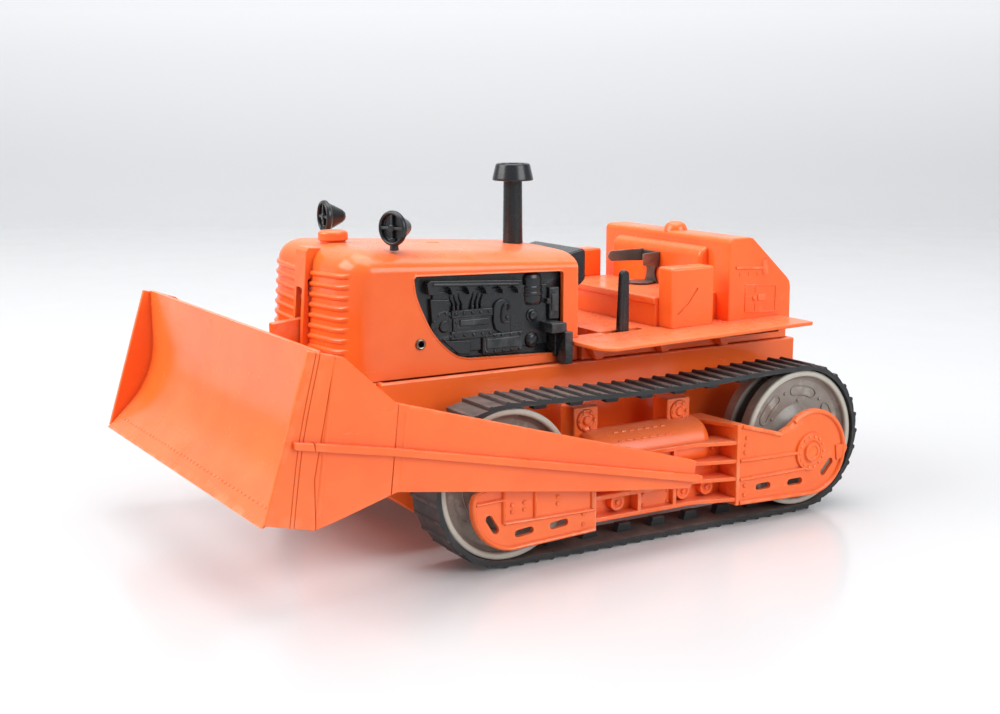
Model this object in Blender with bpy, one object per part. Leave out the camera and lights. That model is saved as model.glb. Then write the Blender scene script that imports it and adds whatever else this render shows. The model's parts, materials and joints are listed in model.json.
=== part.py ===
"""Toy crawler tractor with a bulldozer blade, modelled the way its mouldings come apart.

Metres, +Z up. The blade faces -Y, the machine's own left side is +X, and the origin is on
the ground under the middle of the whole toy. Every size below is in millimetres, measured
from the machine's datum: the ground point half way between its two axles.
"""

import math

import bmesh
import bpy
from mathutils import Matrix, Vector

MM = 0.001
DATUM_Y = 38.8  # the axles' mid point lies this far behind the middle of the toy
GAP = 0.35  # between mouldings that meet face to face
RUNNING = 0.3  # radial clearance of anything that turns on a pin

# Running gear
WHEELBASE = 162.5
AXLE_R = 1.6
WHEEL_R = 32.6
WHEEL_STEPS = 24
BELT = 1.9
CLEAT = 1.3
SLACK = 0.25  # the belt stands this far off the rims
AXLE_Z = WHEEL_R + SLACK + BELT + CLEAT
CLEATS = 69
CLEAT_SHARE = 0.36
LUGS = 28
LUG_HEIGHT = 4.0
LUG_X = (71.7, 75.9)
TRACK_X = (62.5, 85.0)
BEND = math.pi * WHEEL_R
LOOP = 2 * WHEELBASE + 2 * BEND
OUTER_DISC_X = (76.8, 83.7)
INNER_DISC_X = (64.0, 70.6)
TOP_SAG = 2.0

# Side frames
COVER_X = (86.9, 89.0)
COVER_RIB_X = 90.4
WEB_X = (74.0, 77.0)
FLANGE_X = 83.0
FRAME_Y = (-41.0, 40.0)
FRAME_TOP = 41.0
RIB_Z = (23.0, 31.3)
HUB = (83.3, 30.3)

# Hull, hood and rear body
HULL_X = 47.5
HULL_BOTTOM = 18.0
HULL_FRONT = -122.0
HULL_REAR = 109.0
HULL_TOP = 77.0
WALL = 2.2
HOOD_X = 43.1
HOOD_REAR = -19.4
HOOD_FOOT_FRONT = -137.0
HOOD_CROWN_FRONT = -133.0
HOOD_ROUND = 13.0
HOOD_BOTTOM = HULL_TOP + GAP
BAND_X = 4.6
BAND_PROUD = 1.3
SLOT_X = 3.9
SLOT_TOP = 114.0
DECK_X = 76.0
DECK_Y = (-27.0, 95.0)
DECK_THICK = 1.8
DECK_SLOPE = 0.02
DECK_Z = 88.5  # top of the deck at y = 25
PLATFORM_Z = 102.5
TANK_X = 51.4
ARM_BOX_X = (41.0, 52.2)

# Moving parts
BLADE_PIVOT = (3.8, 30.6)
LIFT_PIVOT = (6.5, 62.0)
LIFT_SHAFT_R = 1.5
LIFT_ARM_X = 3.3
LEVER_X = 42.0
BLADE_X = 98.6
ARM_X = (91.6, 95.0)
LAMP = (34.9, -109.5, 141.0)
LAMP_SWIVEL = {"left": 20.0, "right": -5.0}
STACK_Y = -27.8
EYELET = (-100.8, 91.5)
EYELET_R = 1.9
CAP_Y = -121.0

SIDES = {"left": 1, "right": -1}


def deck_z(y):
    """Height of the deck's upper face, which rises a little to the rear."""
    return DECK_Z + DECK_SLOPE * (y - 25)


def hood_z(y):
    """Height of the hood's crown line, which falls to the rear."""
    return 127.4 - 0.058 * (y - STACK_Y)


def clear_scene():
    for obj in list(bpy.data.objects):
        bpy.data.objects.remove(obj, do_unlink=True)


def finish_material(name, colour, roughness, metallic=0.0):
    material = bpy.data.materials.new(name)
    material.use_nodes = True
    shader = material.node_tree.nodes["Principled BSDF"]
    shader.inputs["Base Color"].default_value = (*colour, 1.0)
    shader.inputs["Roughness"].default_value = roughness
    shader.inputs["Metallic"].default_value = metallic
    return material


def body_from(bm, name="tool"):
    """An object from a bmesh whose coordinates are millimetres from the datum."""
    bmesh.ops.recalc_face_normals(bm, faces=bm.faces)
    bmesh.ops.transform(bm, matrix=Matrix.Scale(MM, 4), verts=bm.verts)
    mesh = bpy.data.meshes.new(name)
    bm.to_mesh(mesh)
    bm.free()
    obj = bpy.data.objects.new(name, mesh)
    bpy.context.scene.collection.objects.link(obj)
    return obj


def bevel_edges(bm, edges, width, segments):
    bmesh.ops.bevel(bm, geom=list(edges), offset=width, segments=segments,
                    affect="EDGES", profile=0.5, clamp_overlap=True)


def box(x, y, z, bevel=0.0, segments=1):
    """A block between the pairs x, y and z, with all its edges rounded by bevel."""
    bm = bmesh.new()
    bmesh.ops.create_cube(bm, size=1.0)
    for vert in bm.verts:
        vert.co = Vector((x[vert.co.x > 0], y[vert.co.y > 0], z[vert.co.z > 0]))
    if bevel:
        bevel_edges(bm, bm.edges, bevel, segments)
    return body_from(bm)


def prism(outline, x, bevel=0.0, segments=1):
    """An outline of (y, z) points made solid between the two x values."""
    bm = bmesh.new()
    near = [bm.verts.new((x[0], py, pz)) for py, pz in outline]
    far = [bm.verts.new((x[1], py, pz)) for py, pz in outline]
    faces = [bm.faces.new(near), bm.faces.new(far)]
    for i in range(len(outline)):
        j = (i + 1) % len(outline)
        bm.faces.new((near[i], near[j], far[j], far[i]))
    bmesh.ops.recalc_face_normals(bm, faces=bm.faces)
    if bevel:
        rim = {edge for face in faces for edge in face.edges}
        bevel_edges(bm, rim, bevel, segments)
    return body_from(bm)


def plan_prism(outline, z, lift=None):
    """An outline of (x, y) points made solid between the two z values; lift(y) tilts it."""
    lift = lift or (lambda y: 0.0)
    bm = bmesh.new()
    low = [bm.verts.new((px, py, z[0] + lift(py))) for px, py in outline]
    high = [bm.verts.new((px, py, z[1] + lift(py))) for px, py in outline]
    bm.faces.new(low)
    bm.faces.new(high)
    for i in range(len(outline)):
        j = (i + 1) % len(outline)
        bm.faces.new((low[i], low[j], high[j], high[i]))
    return body_from(bm)


def turned(profile, centre=(0, 0, 0), axis="X", steps=32):
    """A closed profile of (along, radius) points turned about an axis through centre."""
    bm = bmesh.new()
    rings = []
    for along, radius in profile:
        if radius == 0:
            rings.append([bm.verts.new((along, 0, 0))])
            continue
        angles = (2 * math.pi * k / steps for k in range(steps))
        rings.append([bm.verts.new((along, radius * math.cos(a), radius * math.sin(a)))
                      for a in angles])
    for here, there in zip(rings, rings[1:] + rings[:1]):
        for k in range(steps):
            corners = [here[k % len(here)], here[(k + 1) % len(here)],
                       there[(k + 1) % len(there)], there[k % len(there)]]
            unique = list(dict.fromkeys(corners))
            if len(unique) > 2:
                bm.faces.new(unique)
    turn = {"X": Matrix.Identity(4), "Y": Matrix.Rotation(math.pi / 2, 4, "Z"),
            "Z": Matrix.Rotation(-math.pi / 2, 4, "Y")}[axis]
    bmesh.ops.transform(bm, matrix=Matrix.Translation(centre) @ turn, verts=bm.verts)
    return body_from(bm)


def rod(radius, start, end, centre, axis="X", steps=16):
    """A round bar along an axis from start to end."""
    profile = [(start, 0), (start, radius), (end, radius), (end, 0)]
    return turned(profile, centre, axis, steps)


def combine(base, tools, operation, solver="EXACT"):
    """Applies Booleans of the tools to base, then removes the tools."""
    for tool in tools:
        modifier = base.modifiers.new(operation.title(), "BOOLEAN")
        modifier.operation = operation
        modifier.solver = solver
        modifier.object = tool
    graph = bpy.context.evaluated_depsgraph_get()
    mesh = bpy.data.meshes.new_from_object(base.evaluated_get(graph))
    base.modifiers.clear()
    base.data = mesh
    for tool in tools:
        bpy.data.objects.remove(tool, do_unlink=True)
    return base


def union(base, *tools, solver="EXACT"):
    return combine(base, tools, "UNION", solver)


def cut(base, *tools, solver="EXACT"):
    return combine(base, tools, "DIFFERENCE", solver)


def mirrored(obj, side):
    """The body as built for the left side, or its mirror image for the right side."""
    if SIDES[side] < 0:
        bm = bmesh.new()
        bm.from_mesh(obj.data)
        bmesh.ops.transform(bm, matrix=Matrix.Scale(-1, 4, (1, 0, 0)), verts=bm.verts)
        bmesh.ops.reverse_faces(bm, faces=bm.faces)
        bm.to_mesh(obj.data)
        bm.free()
    return obj


def place(obj, name, material, pivot=(0, 0, 0), smooth=40):
    """Names a body, puts its origin on the pivot, and hangs it on the machine's datum."""
    obj.name = name
    obj.data.name = name
    obj.data.materials.clear()
    obj.data.materials.append(material)
    obj.data.transform(Matrix.Translation(-Vector(pivot) * MM))
    obj.data.shade_smooth()
    obj.data.set_sharp_from_angle(angle=math.radians(smooth))
    obj.parent = datum
    obj.location = Vector(pivot) * MM
    return obj


# ---------------------------------------------------------------- hull, hood, rear body

def build_hull():
    """The lower pan that carries both axles, with a front slot for the lift arm."""
    outline = [(HULL_FRONT, 29.2), (HULL_FRONT + 16, HULL_BOTTOM), (92.0, HULL_BOTTOM),
               (HULL_REAR, 34.0), (HULL_REAR, HULL_TOP - 1.5), (HULL_REAR - 1.5, HULL_TOP),
               (HULL_FRONT, HULL_TOP)]
    hull = prism(outline, (-HULL_X, HULL_X), 0.8)
    inside = HULL_X - WALL
    hollow = box((-inside, inside), (HULL_FRONT + WALL, HULL_REAR - WALL),
                 (HULL_BOTTOM + WALL, HULL_TOP + 20))
    # the sloping ends stay thick enough where the hollow's corners come near them
    front_fill = prism([(HULL_FRONT, 29.2), (HULL_FRONT + 16, HULL_BOTTOM),
                        (HULL_FRONT + 18, HULL_BOTTOM + 2.4), (HULL_FRONT + 2.4, 31.5)],
                       (-inside - 1, inside + 1))
    rear_fill = prism([(92.0, HULL_BOTTOM), (HULL_REAR, 34.0), (HULL_REAR - 2.6, 36.0),
                       (91.0, HULL_BOTTOM + 2.4)], (-inside - 1, inside + 1))
    hull = cut(hull, hollow)
    hull = union(hull, front_fill, rear_fill)
    nose_floor = box((-HOOD_X, HOOD_X), (-136.0, HULL_FRONT + 1), (HULL_TOP - 9, HULL_TOP), 0.8)
    hull = union(hull, nose_floor)
    slot = box((-SLOT_X, SLOT_X), (-150.0, HULL_FRONT + WALL + 1), (44.0, HULL_TOP + 5))
    cutters = [slot]
    for y in (-WHEELBASE / 2, WHEELBASE / 2):
        cutters.append(rod(AXLE_R + GAP, -60, 60, (0, y, AXLE_Z)))
    cutters.append(rod(LIFT_SHAFT_R + RUNNING, -60, 60, (0, *LIFT_PIVOT)))
    return cut(hull, *cutters)


def hood_solid(inset):
    """The hood as a rounded solid, shrunk by inset on every side but its open foot."""
    side = HOOD_X - inset
    foot = HOOD_FOOT_FRONT + inset
    crown = HOOD_CROWN_FRONT + inset
    rear = HOOD_REAR - inset
    low = HOOD_BOTTOM if inset == 0 else HOOD_BOTTOM - 10
    bm = bmesh.new()
    corners = {}
    for sx in (-1, 1):
        corners[sx, "foot"] = bm.verts.new((sx * side, foot, low))
        corners[sx, "crown"] = bm.verts.new((sx * side, crown, hood_z(crown) - inset))
        corners[sx, "back"] = bm.verts.new((sx * side, rear, hood_z(rear) - inset))
        corners[sx, "heel"] = bm.verts.new((sx * side, rear, low))
    order = ("foot", "crown", "back", "heel")
    for sx in (-1, 1):
        bm.faces.new([corners[sx, key] for key in order])
    for here, there in zip(order, order[1:] + order[:1]):
        bm.faces.new((corners[-1, here], corners[1, here], corners[1, there], corners[-1, there]))
    bmesh.ops.recalc_face_normals(bm, faces=bm.faces)
    crown_set = {corners[sx, key] for sx in (-1, 1) for key in ("crown", "back")}
    edges = set()
    for edge in bm.edges:
        ends = set(edge.verts)
        rear_edge = ends == {corners[-1, "back"], corners[1, "back"]}
        front_corner = any(ends == {corners[sx, "foot"], corners[sx, "crown"]} for sx in (-1, 1))
        if (ends <= crown_set and not rear_edge) or front_corner:
            edges.add(edge)
    bevel_edges(bm, edges, HOOD_ROUND - inset, 5)
    return body_from(bm)


def window_outline():
    """The engine window: level top, upright rear edge, long sweeping front and lower edge."""
    sweep = [(-104.0, 120.3), (-102.5, 112.5), (-99.0, 104.0), (-95.0, 96.5), (-89.5, 90.0),
             (-83.0, 85.0), (-76.0, 83.0)]
    return sweep + [(-27.5, 81.3), (-27.5, 118.6)]


def build_hood():
    """Hood and radiator shell: one thin moulding with a raised centre band on the nose."""
    hood = hood_solid(0.0)
    rake = (HOOD_CROWN_FRONT - HOOD_FOOT_FRONT) / (hood_z(HOOD_CROWN_FRONT) - HOOD_BOTTOM)
    top = hood_z(HOOD_CROWN_FRONT) - 0.8
    crown = HOOD_CROWN_FRONT - BAND_PROUD
    band = prism([(HOOD_FOOT_FRONT - BAND_PROUD, HOOD_BOTTOM),
                  (crown - 2.0 * rake, top - 2.0), (crown + 2.0, top),
                  (crown + 16.0, top - 1.0), (crown + 16.0, HOOD_BOTTOM)], (-BAND_X, BAND_X))
    hood = union(hood, band)
    hood = cut(hood, hood_solid(WALL))
    tools = [prism(window_outline(), (-60, 60))]
    tools.append(box((-SLOT_X, SLOT_X), (-150, -126), (HOOD_BOTTOM - 5, SLOT_TOP)))
    tools.append(rod(EYELET_R + GAP, -60, 60, (0, *EYELET)))
    hood = cut(hood, *tools)
    bars = []
    for k in range(8):
        z = 87.5 + 4.35 * k
        y = HOOD_FOOT_FRONT + rake * (z - HOOD_BOTTOM)
        for sx in (-1, 1):
            bars.append(box(sorted((sx * 6.5, sx * 37.0)), (y - 0.55, y + 1.2),
                            (z - 0.55, z + 0.55)))
    return union(hood, *bars)


def deck_outline():
    """Plan of the deck plate, with its outer front corners rounded."""
    front, rear = DECK_Y
    radius = 9.0
    corner = []
    for k in range(5):
        angle = math.radians(22.5 * k)
        corner.append((DECK_X - radius + radius * math.sin(angle),
                       front + radius - radius * math.cos(angle)))
    right = [(HOOD_X + GAP, front)] + corner + [(DECK_X, rear)]
    left = [(-x, y) for x, y in reversed(right)]
    inner = HOOD_REAR + GAP
    return right + left + [(-HOOD_X - GAP, inner), (HOOD_X + GAP, inner)]


def build_rear_body():
    """Deck with fenders, seat platform, arm boxes and fuel tank in one hollow moulding."""
    z = DECK_Z
    deck = plan_prism(deck_outline(), (z - DECK_THICK, z), lambda y: DECK_SLOPE * (y - 25))
    skirt_x = HULL_X - 1.3
    low = HULL_TOP + GAP
    skirt = box((-skirt_x, skirt_x), (HOOD_REAR + GAP, 104.5), (low, z - 0.9))
    tank = prism([(62.5, z - 4), (62.5, 127.5), (64.0, 129.0), (75.5, 129.2), (78.0, 128.2),
                  (100.0, 108.0), (101.5, 105.0), (102.0, z - 4)], (-TANK_X, TANK_X), 1.2)
    platform = box((-42, 42), (25.5, 66.0), (z - 4, PLATFORM_Z), 0.8)
    lip = box((-42, 42), (24.5, 30.0), (PLATFORM_Z - 3.6, PLATFORM_Z), 0.7)
    bolster = prism([(57.5, PLATFORM_Z - 4), (57.5, 119.5), (61.0, 124.0), (66.0, 124.0),
                     (66.0, PLATFORM_Z - 4)], (-38.5, 35.0), 0.8)
    parts = [skirt, tank, platform, lip, bolster]
    for sx in (-1, 1):
        parts.append(box(sorted((sx * ARM_BOX_X[0], sx * ARM_BOX_X[1])), (27.5, 52.8),
                         (deck_z(39) - 0.9, 117.0), 0.9))
        for y in (-12.6, 25.0, 61.0):
            gusset = prism([(y - 5.5, z - 1.5), (y + 5.5, z - 1.5), (y + 3.0, low + 1.5),
                            (y - 3.0, low + 1.5)], sorted((sx * (skirt_x - 1), sx * (skirt_x + 4))))
            parts.append(gusset)
    dome = turned([(0, 0), (0, 6.0), (3.0, 5.4), (4.4, 3.6), (4.9, 0)], (0, 69.5, 128.6), "Z", 20)
    parts.append(dome)
    rear = union(deck, *parts, solver="MANIFOLD")
    inner_x = skirt_x - WALL
    hollow = box((-inner_x, inner_x), (HOOD_REAR + 1, 104.5 - WALL), (low - 5, z - 4.6))
    tank_in = prism([(64.8, z - 8), (64.8, 126.6), (76.0, 126.6), (98.0, 106.5), (99.7, z - 8)],
                    (-TANK_X + WALL, TANK_X - WALL))
    seat_in = box((-39.5, 39.5), (28.0, 70.0), (z - 8, PLATFORM_Z - WALL))
    slot = box((LEVER_X - 3.3, LEVER_X + 2.0), (-4.5, 17.5), (low - 2, z + 8))
    open_front = box((-39.5, 39.5), (HOOD_REAR - 2, -4.0), (low - 2, z + 6))
    return cut(rear, hollow, tank_in, seat_in, slot, open_front, solver="MANIFOLD")


def build_engine_insert():
    """Black engine casting seen through the window, with the stepped tank at its rear."""
    low = HOOD_BOTTOM + 0.4
    plate = prism([(-106.0, low), (-106.0, 121.4), (-24.0, 119.0), (-24.0, low)], (36.6, 38.8))
    block = box((38.0, 40.6), (-84.0, -30.0), (83.5, 117.0), 0.6)
    parts = [block]
    for k in range(6):
        y = -89.0 + 11.0 * k
        parts.append(rod(4.4, 38.0, 41.8, (0, y, 114.0), "X", 8))
    parts.append(box((38.0, 42.0), (-95.0, -32.0), (113.0, 116.5), 0.8))
    parts.append(rod(5.0, 38.0, 42.0, (0, -87.0, 95.5), "X", 12))
    parts.append(box((38.0, 42.2), (-83.0, -62.0), (90.5, 100.5), 0.8))
    parts.append(box((38.0, 41.8), (-61.0, -52.5), (86.0, 105.0), 1.2))
    parts.append(rod(4.6, 100.0, 113.0, (40.0, -42.5, 0.0), "Z", 12))
    parts.append(box((38.0, 42.0), (-70.0, -50.0), (84.5, 90.0), 0.8))
    parts.append(box((38.0, 42.6), (-36.5, -28.2), (98.5, 112.5), 1.0))
    parts.append(box((38.0, 50.2), (-38.0, -30.0), (91.6, 96.2), 0.5))
    parts.append(box((38.0, 45.0), (-34.0, -28.0), (82.0, 92.9), 0.5))
    parts.append(box((HOOD_X + GAP, 51.4), (-31.6, -27.4), (HULL_TOP + GAP, 92.0), 0.5))
    return union(plate, *parts)


def build_dash():
    """Instrument box behind the hood, its top sloping up towards the driver."""
    y0 = HOOD_REAR + GAP
    outline = [(y0, 108.0), (y0, 121.6), (-1.5, 125.4), (0.0, 124.0), (0.0, 110.5), (-3.0, 108.0)]
    dash = prism(outline, (-21.0, 21.0), 0.8)
    foot = box((-12.0, 12.0), (y0, -8.0), (HULL_TOP + 2, 109.0))
    return union(dash, foot)


def build_cap():
    """Radiator filler cap on the hood's crown."""
    base = hood_z(CAP_Y) + GAP
    profile = [(0, 0), (0, 7.0), (4.2, 6.8), (5.0, 6.0), (5.0, 0)]
    return turned(profile, (0, CAP_Y, base), "Z", 28)


def build_stack():
    """Exhaust stack: a plain pipe under a flared rain cap."""
    base = hood_z(STACK_Y) + GAP
    profile = [(0, 0), (0, 5.6), (1.2, 5.6), (1.6, 4.7), (29.0, 4.5), (29.2, 9.4), (30.2, 9.5),
               (37.0, 7.9), (37.4, 7.4), (37.4, 5.8), (33.0, 5.2), (33.0, 0)]
    return turned(profile, (0, STACK_Y, base), "Z", 28)


def build_lamp(side):
    """Round headlight shell: ring, sunk face with crossed bars, cone back and stem."""
    profile = [(-0.9, 0), (-0.9, 6.1), (0.8, 6.3), (0.8, 7.2), (0.2, 7.6), (-1.2, 7.6), (-1.8, 6.6),
               (-9.0, 3.0), (-10.4, 1.4), (-10.4, 0)]
    shell = turned([(-a, r) for a, r in reversed(profile)], (0, 0, 0), "Y", 20)
    bars = [box((-6.6, 6.6), (-0.4, 1.6), (-0.7, 0.7)), box((-0.7, 0.7), (-0.4, 1.6), (-6.6, 6.6))]
    foot = hood_z(LAMP[1]) + 0.15 - LAMP[2]
    stem = turned([(foot, 0), (foot, 2.4), (foot + 2.2, 1.8), (-5.0, 1.6), (-5.0, 0)],
                  (0, 2.4, 0), "Z", 10)
    lamp = union(shell, stem, *bars)
    lamp.data.transform(Matrix.Rotation(math.radians(LAMP_SWIVEL[side]), 4, "Z"))
    lamp.data.transform(Matrix.Translation(Vector((SIDES[side] * LAMP[0], *LAMP[1:])) * MM))
    return lamp


def build_clip():
    """Bent sheet-metal clip that holds a driver: round foot, upright, and two waist arms."""
    low = PLATFORM_Z + GAP
    foot = turned([(low, 0), (low, 6.8), (low + 0.9, 6.8), (low + 0.9, 0)], (-3.2, 50.3, 0), "Z", 20)
    back = box((-10.4, 3.4), (56.2, 57.1), (low + 9.0, 118.8), 0.2)
    stem = box((-7.5, 1.5), (56.2, 57.1), (low, 118.0), 0.2)
    far_arm = box((-10.4, -9.5), (35.5, 56.8), (114.0, 119.4), 0.2)
    near_arm = box((2.5, 3.4), (46.5, 56.8), (112.0, 118.8), 0.2)
    return union(foot, back, stem, far_arm, near_arm)


def build_eyelet():
    """Tubular rivet through the hood side."""
    face = HOOD_X + GAP
    profile = [(39.5, 1.2), (39.5, EYELET_R), (face, EYELET_R), (face, 2.8), (face + 0.8, 2.5),
               (face + 0.8, 1.2)]
    return turned(profile, (0, *EYELET), "X", 16)


def build_axle_cap():
    """Push-on steel cap that keeps a wheel on its axle."""
    profile = [(85.0, AXLE_R + RUNNING), (85.0, 4.2), (85.9, 4.0), (86.5, 3.0),
               (86.5, AXLE_R + RUNNING)]
    return profile


# ------------------------------------------------------------------------ running gear

def build_disc(x, boss_in, boss_out):
    """One moulded wheel disc: a deep rim, a dished web and a boss bored for the axle."""
    x0, x1 = x
    bore = AXLE_R + RUNNING
    return [(x0 - boss_in, bore), (x0 - boss_in, 6.5), (x0 + 2.0, 7.5), (x0 + 2.0, 28.0),
            (x0, 29.0), (x0, WHEEL_R), (x1, WHEEL_R), (x1, 29.6), (x1 - 1.6, 28.4),
            (x1 - 2.0, 13.0), (x1 + boss_out, 8.0), (x1 + boss_out, bore)]


def loop_point(distance, offset):
    """Point on the belt's inner line at a distance along it, moved outwards by offset."""
    half = WHEELBASE / 2
    reach = WHEEL_R + offset
    s = distance % LOOP
    if s < WHEELBASE:
        return (-half + s, AXLE_Z - reach)
    s -= WHEELBASE
    if s < BEND:
        angle = -math.pi / 2 + s / WHEEL_R
        return (half + reach * math.cos(angle), AXLE_Z + reach * math.sin(angle))
    s -= BEND
    if s < WHEELBASE:
        dip = TOP_SAG * math.sin(math.pi * s / WHEELBASE) ** 2
        return (half - s, AXLE_Z + reach - dip)
    angle = math.pi / 2 + (s - WHEELBASE) / WHEEL_R
    return (-half + reach * math.cos(angle), AXLE_Z + reach * math.sin(angle))


def build_track():
    """Rubber track: a belt with cross cleats outside and a row of drive lugs inside."""
    pitch = LOOP / CLEATS
    width = CLEAT_SHARE * pitch
    slope = 0.35
    outline = []
    for k in range(CLEATS):
        start = (k + 0.1) * pitch
        for s, up in ((start - slope, 0.0), (start, CLEAT), (start + width, CLEAT),
                      (start + width + slope, 0.0)):
            outline.append(loop_point(s, SLACK + BELT + up))
    inner_steps = 96
    inner = [loop_point(k * LOOP / inner_steps, SLACK) for k in range(inner_steps)]
    belt = cut(prism(outline, TRACK_X), prism(inner, (TRACK_X[0] - 5, TRACK_X[1] + 5)))
    lugs = []
    for k in range(LUGS):
        middle = (k + 0.5) * LOOP / LUGS
        foot, tip = 4.6, 3.0
        section = [loop_point(middle - foot, SLACK + 1.0), loop_point(middle + foot, SLACK + 1.0),
                   loop_point(middle + tip, -LUG_HEIGHT), loop_point(middle - tip, -LUG_HEIGHT)]
        lugs.append(prism(section, LUG_X))
    return union(belt, *lugs)


def arc(centre, radius, start, end, steps):
    """Points of an arc in the (y, z) plane, in degrees from +Y towards +Z."""
    angles = [math.radians(start + (end - start) * k / steps) for k in range(steps + 1)]
    return [(centre[0] + radius * math.cos(a), centre[1] + radius * math.sin(a)) for a in angles]


def lozenge(y, z, length, height, turn=0.0):
    """A slot outline with round ends, turned in its plane."""
    half = (length - height) / 2
    c, s = math.cos(math.radians(turn)), math.sin(math.radians(turn))
    points = arc((half, 0), height / 2, -90, 90, 4) + arc((-half, 0), height / 2, 90, 270, 4)
    return [(y + c * a - s * b, z + s * a + c * b) for a, b in points]


def build_side_frame():
    """Track frame: web and flanges between two wheel covers, spring housing, roller pads."""
    y0, y1 = FRAME_Y
    front = [(y0, 10.6), (-81.5, 9.0)] + arc((-81.5, 30.0), 21.0, 262, 172, 7)
    front += [(-96.0, 37.5), (-88.0, FRAME_TOP), (y0, FRAME_TOP)]
    rear = [(y1 - 1.6, 10.3), (y1 - 1.6, 48.6), (y1 + 3, 48.0), (66.0, 41.5)]
    rear += arc((84.4, 29.7), 21.0, 118, -90, 12)
    frame = prism(front, COVER_X)
    parts = [prism(rear, COVER_X)]
    # web, flanges and cross walls
    parts.append(box(WEB_X, (y0, y1), (12.5, FRAME_TOP)))
    for z in (13.2, RIB_Z[0], RIB_Z[1], FRAME_TOP - 1.0):
        parts.append(box((WEB_X[0] + 1, FLANGE_X), (y0, y1), (z - 1.0, z + 1.0)))
        parts.append(plan_prism([(76.0, 16.0), (FLANGE_X - 0.5, 16.0), (COVER_X[1], 38.5), (76.0, 38.5)],
                                (z - 0.9, z + 0.9)))
    parts.append(box((70.0, COVER_X[1]), (y0 - 1.0, y0 + 1.2), (10.7, FRAME_TOP)))
    parts.append(box((66.0, COVER_X[1] + 0.6), (y1 - 2.2, y1), (10.4, 48.6)))
    wing = plan_prism([(60.0, 22.0), (60.0, 38.0), (COVER_X[1] + 0.6, 42.0),
                       (COVER_X[1] + 0.6, 38.2)], (46.8, 48.6))
    parts.append(wing)
    # rims and ribs that stand proud of the covers
    parts.append(prism([(y0, 10.6), (-81.5, 9.0)] + arc((-81.5, 30.0), 21.0, 262, 172, 7)
                       + arc((-81.5, 30.0), 19.2, 172, 262, 7) + [(-81.5, 10.8), (y0, 12.4)],
                       (COVER_X[0] + 1, COVER_RIB_X)))
    parts.append(prism(arc((84.4, 29.7), 21.0, 118, -90, 12) + [(y1, 10.3), (y1, 12.1), (84.4, 10.5)]
                       + arc((84.4, 29.7), 19.2, -88, 118, 12), (COVER_X[0] + 1, COVER_RIB_X)))
    parts.append(prism([(y1, 46.8), (66.0, 39.8), (66.0, 41.6), (y1, 48.6)],
                       (COVER_X[0] + 1, COVER_RIB_X)))
    parts.append(box((COVER_X[0] + 1, COVER_RIB_X), (-86.0, y0), (RIB_Z[0] - 0.8, RIB_Z[0] + 0.8)))
    parts.append(box((COVER_X[0] + 1, COVER_RIB_X), (-100.6, -86.5), (RIB_Z[1] - 0.8, RIB_Z[1] + 0.8)))
    for y in (-87.0, -71.5, -42.0):
        parts.append(box((COVER_X[0] + 1, COVER_RIB_X), (y - 0.9, y + 0.9), (RIB_Z[0], FRAME_TOP)))
    for z, end in ((RIB_Z[0], 75.0), (RIB_Z[1], 70.0)):
        parts.append(box((COVER_X[0] + 1, COVER_RIB_X), (y1, end), (z - 0.8, z + 0.8)))
    for y in (-12.2, 7.5):
        parts.append(box((WEB_X[0] + 1, FLANGE_X), (y - 1.0, y + 1.0), (13.0, FRAME_TOP)))
    # hub housing and roller bosses
    parts.append(turned([(COVER_X[0] + 0.8, 0), (COVER_X[0] + 0.8, 9.2), (COVER_RIB_X - 0.4, 9.2),
                         (COVER_RIB_X, 8.6), (COVER_RIB_X, 5.2), (91.6, 4.6), (91.6, 0)],
                        (0, *HUB), "X", 24))
    for y in (-23.1, 14.1, 26.5):
        parts.append(turned([(WEB_X[0] + 1, 0), (WEB_X[0] + 1, 4.0), (80.5, 4.0), (80.5, 0)],
                            (0, y, 18.6), "X", 10))
    parts.append(turned([(WEB_X[0] + 1, 0), (WEB_X[0] + 1, 6.0), (ARM_X[0] - 0.8, 5.0),
                         (ARM_X[0] - 0.8, 0)], (0, *BLADE_PIVOT), "X", 18))
    # spring housing along the frame and its tie to the hull
    parts.append(turned([(-36.0, 0), (-36.0, 10.5), (-33.0, 12.0), (27.0, 12.0), (30.0, 10.5),
                         (30.0, 0)], (69.0, 0, 41.0), "Y", 14))
    parts.append(box((HULL_X + GAP, 75.0), (-30.0, 25.0), (26.0, 40.0)))
    for y in (-32.0, 20.0):
        parts.append(box((58.5, 69.0), (y - 7.0, y + 7.0), (38.0, 60.5), 0.8))
        parts.append(turned([(68.5, 0), (68.5, 5.4), (70.0, 5.0), (70.0, 0)], (0, y, 54.0), "X", 12))
    frame = union(frame, *parts)
    slots = [lozenge(-93.0, 22.0, 8.0, 3.0, -65), lozenge(-77.0, 16.2, 8.6, 3.0, 0),
             lozenge(-59.0, 17.0, 8.6, 3.0, 0), lozenge(55.0, 17.2, 8.6, 3.0, 0),
             lozenge(74.0, 16.8, 8.6, 3.0, 0), lozenge(95.0, 23.0, 8.6, 3.0, 60)]
    cutters = [prism(outline, (80.0, 95.0)) for outline in slots]
    cutters.append(rod(2.0 + RUNNING, 79.0, 95.0, (0, *BLADE_PIVOT)))
    return cut(frame, *cutters)


# ------------------------------------------------------------------- blade and its lift

def mouldboard_points():
    """Front face of the mouldboard from its top to the cutting edge."""
    top_y, top_z = -173.8, 103.6
    radius = 42.0
    bend = arc((top_y - radius, 80.0), radius, 0, -45, 6)
    foot = bend[-1]
    return [(top_y, top_z)] + bend + [(foot[0] - 11.3, foot[1] - 11.3)]


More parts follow.
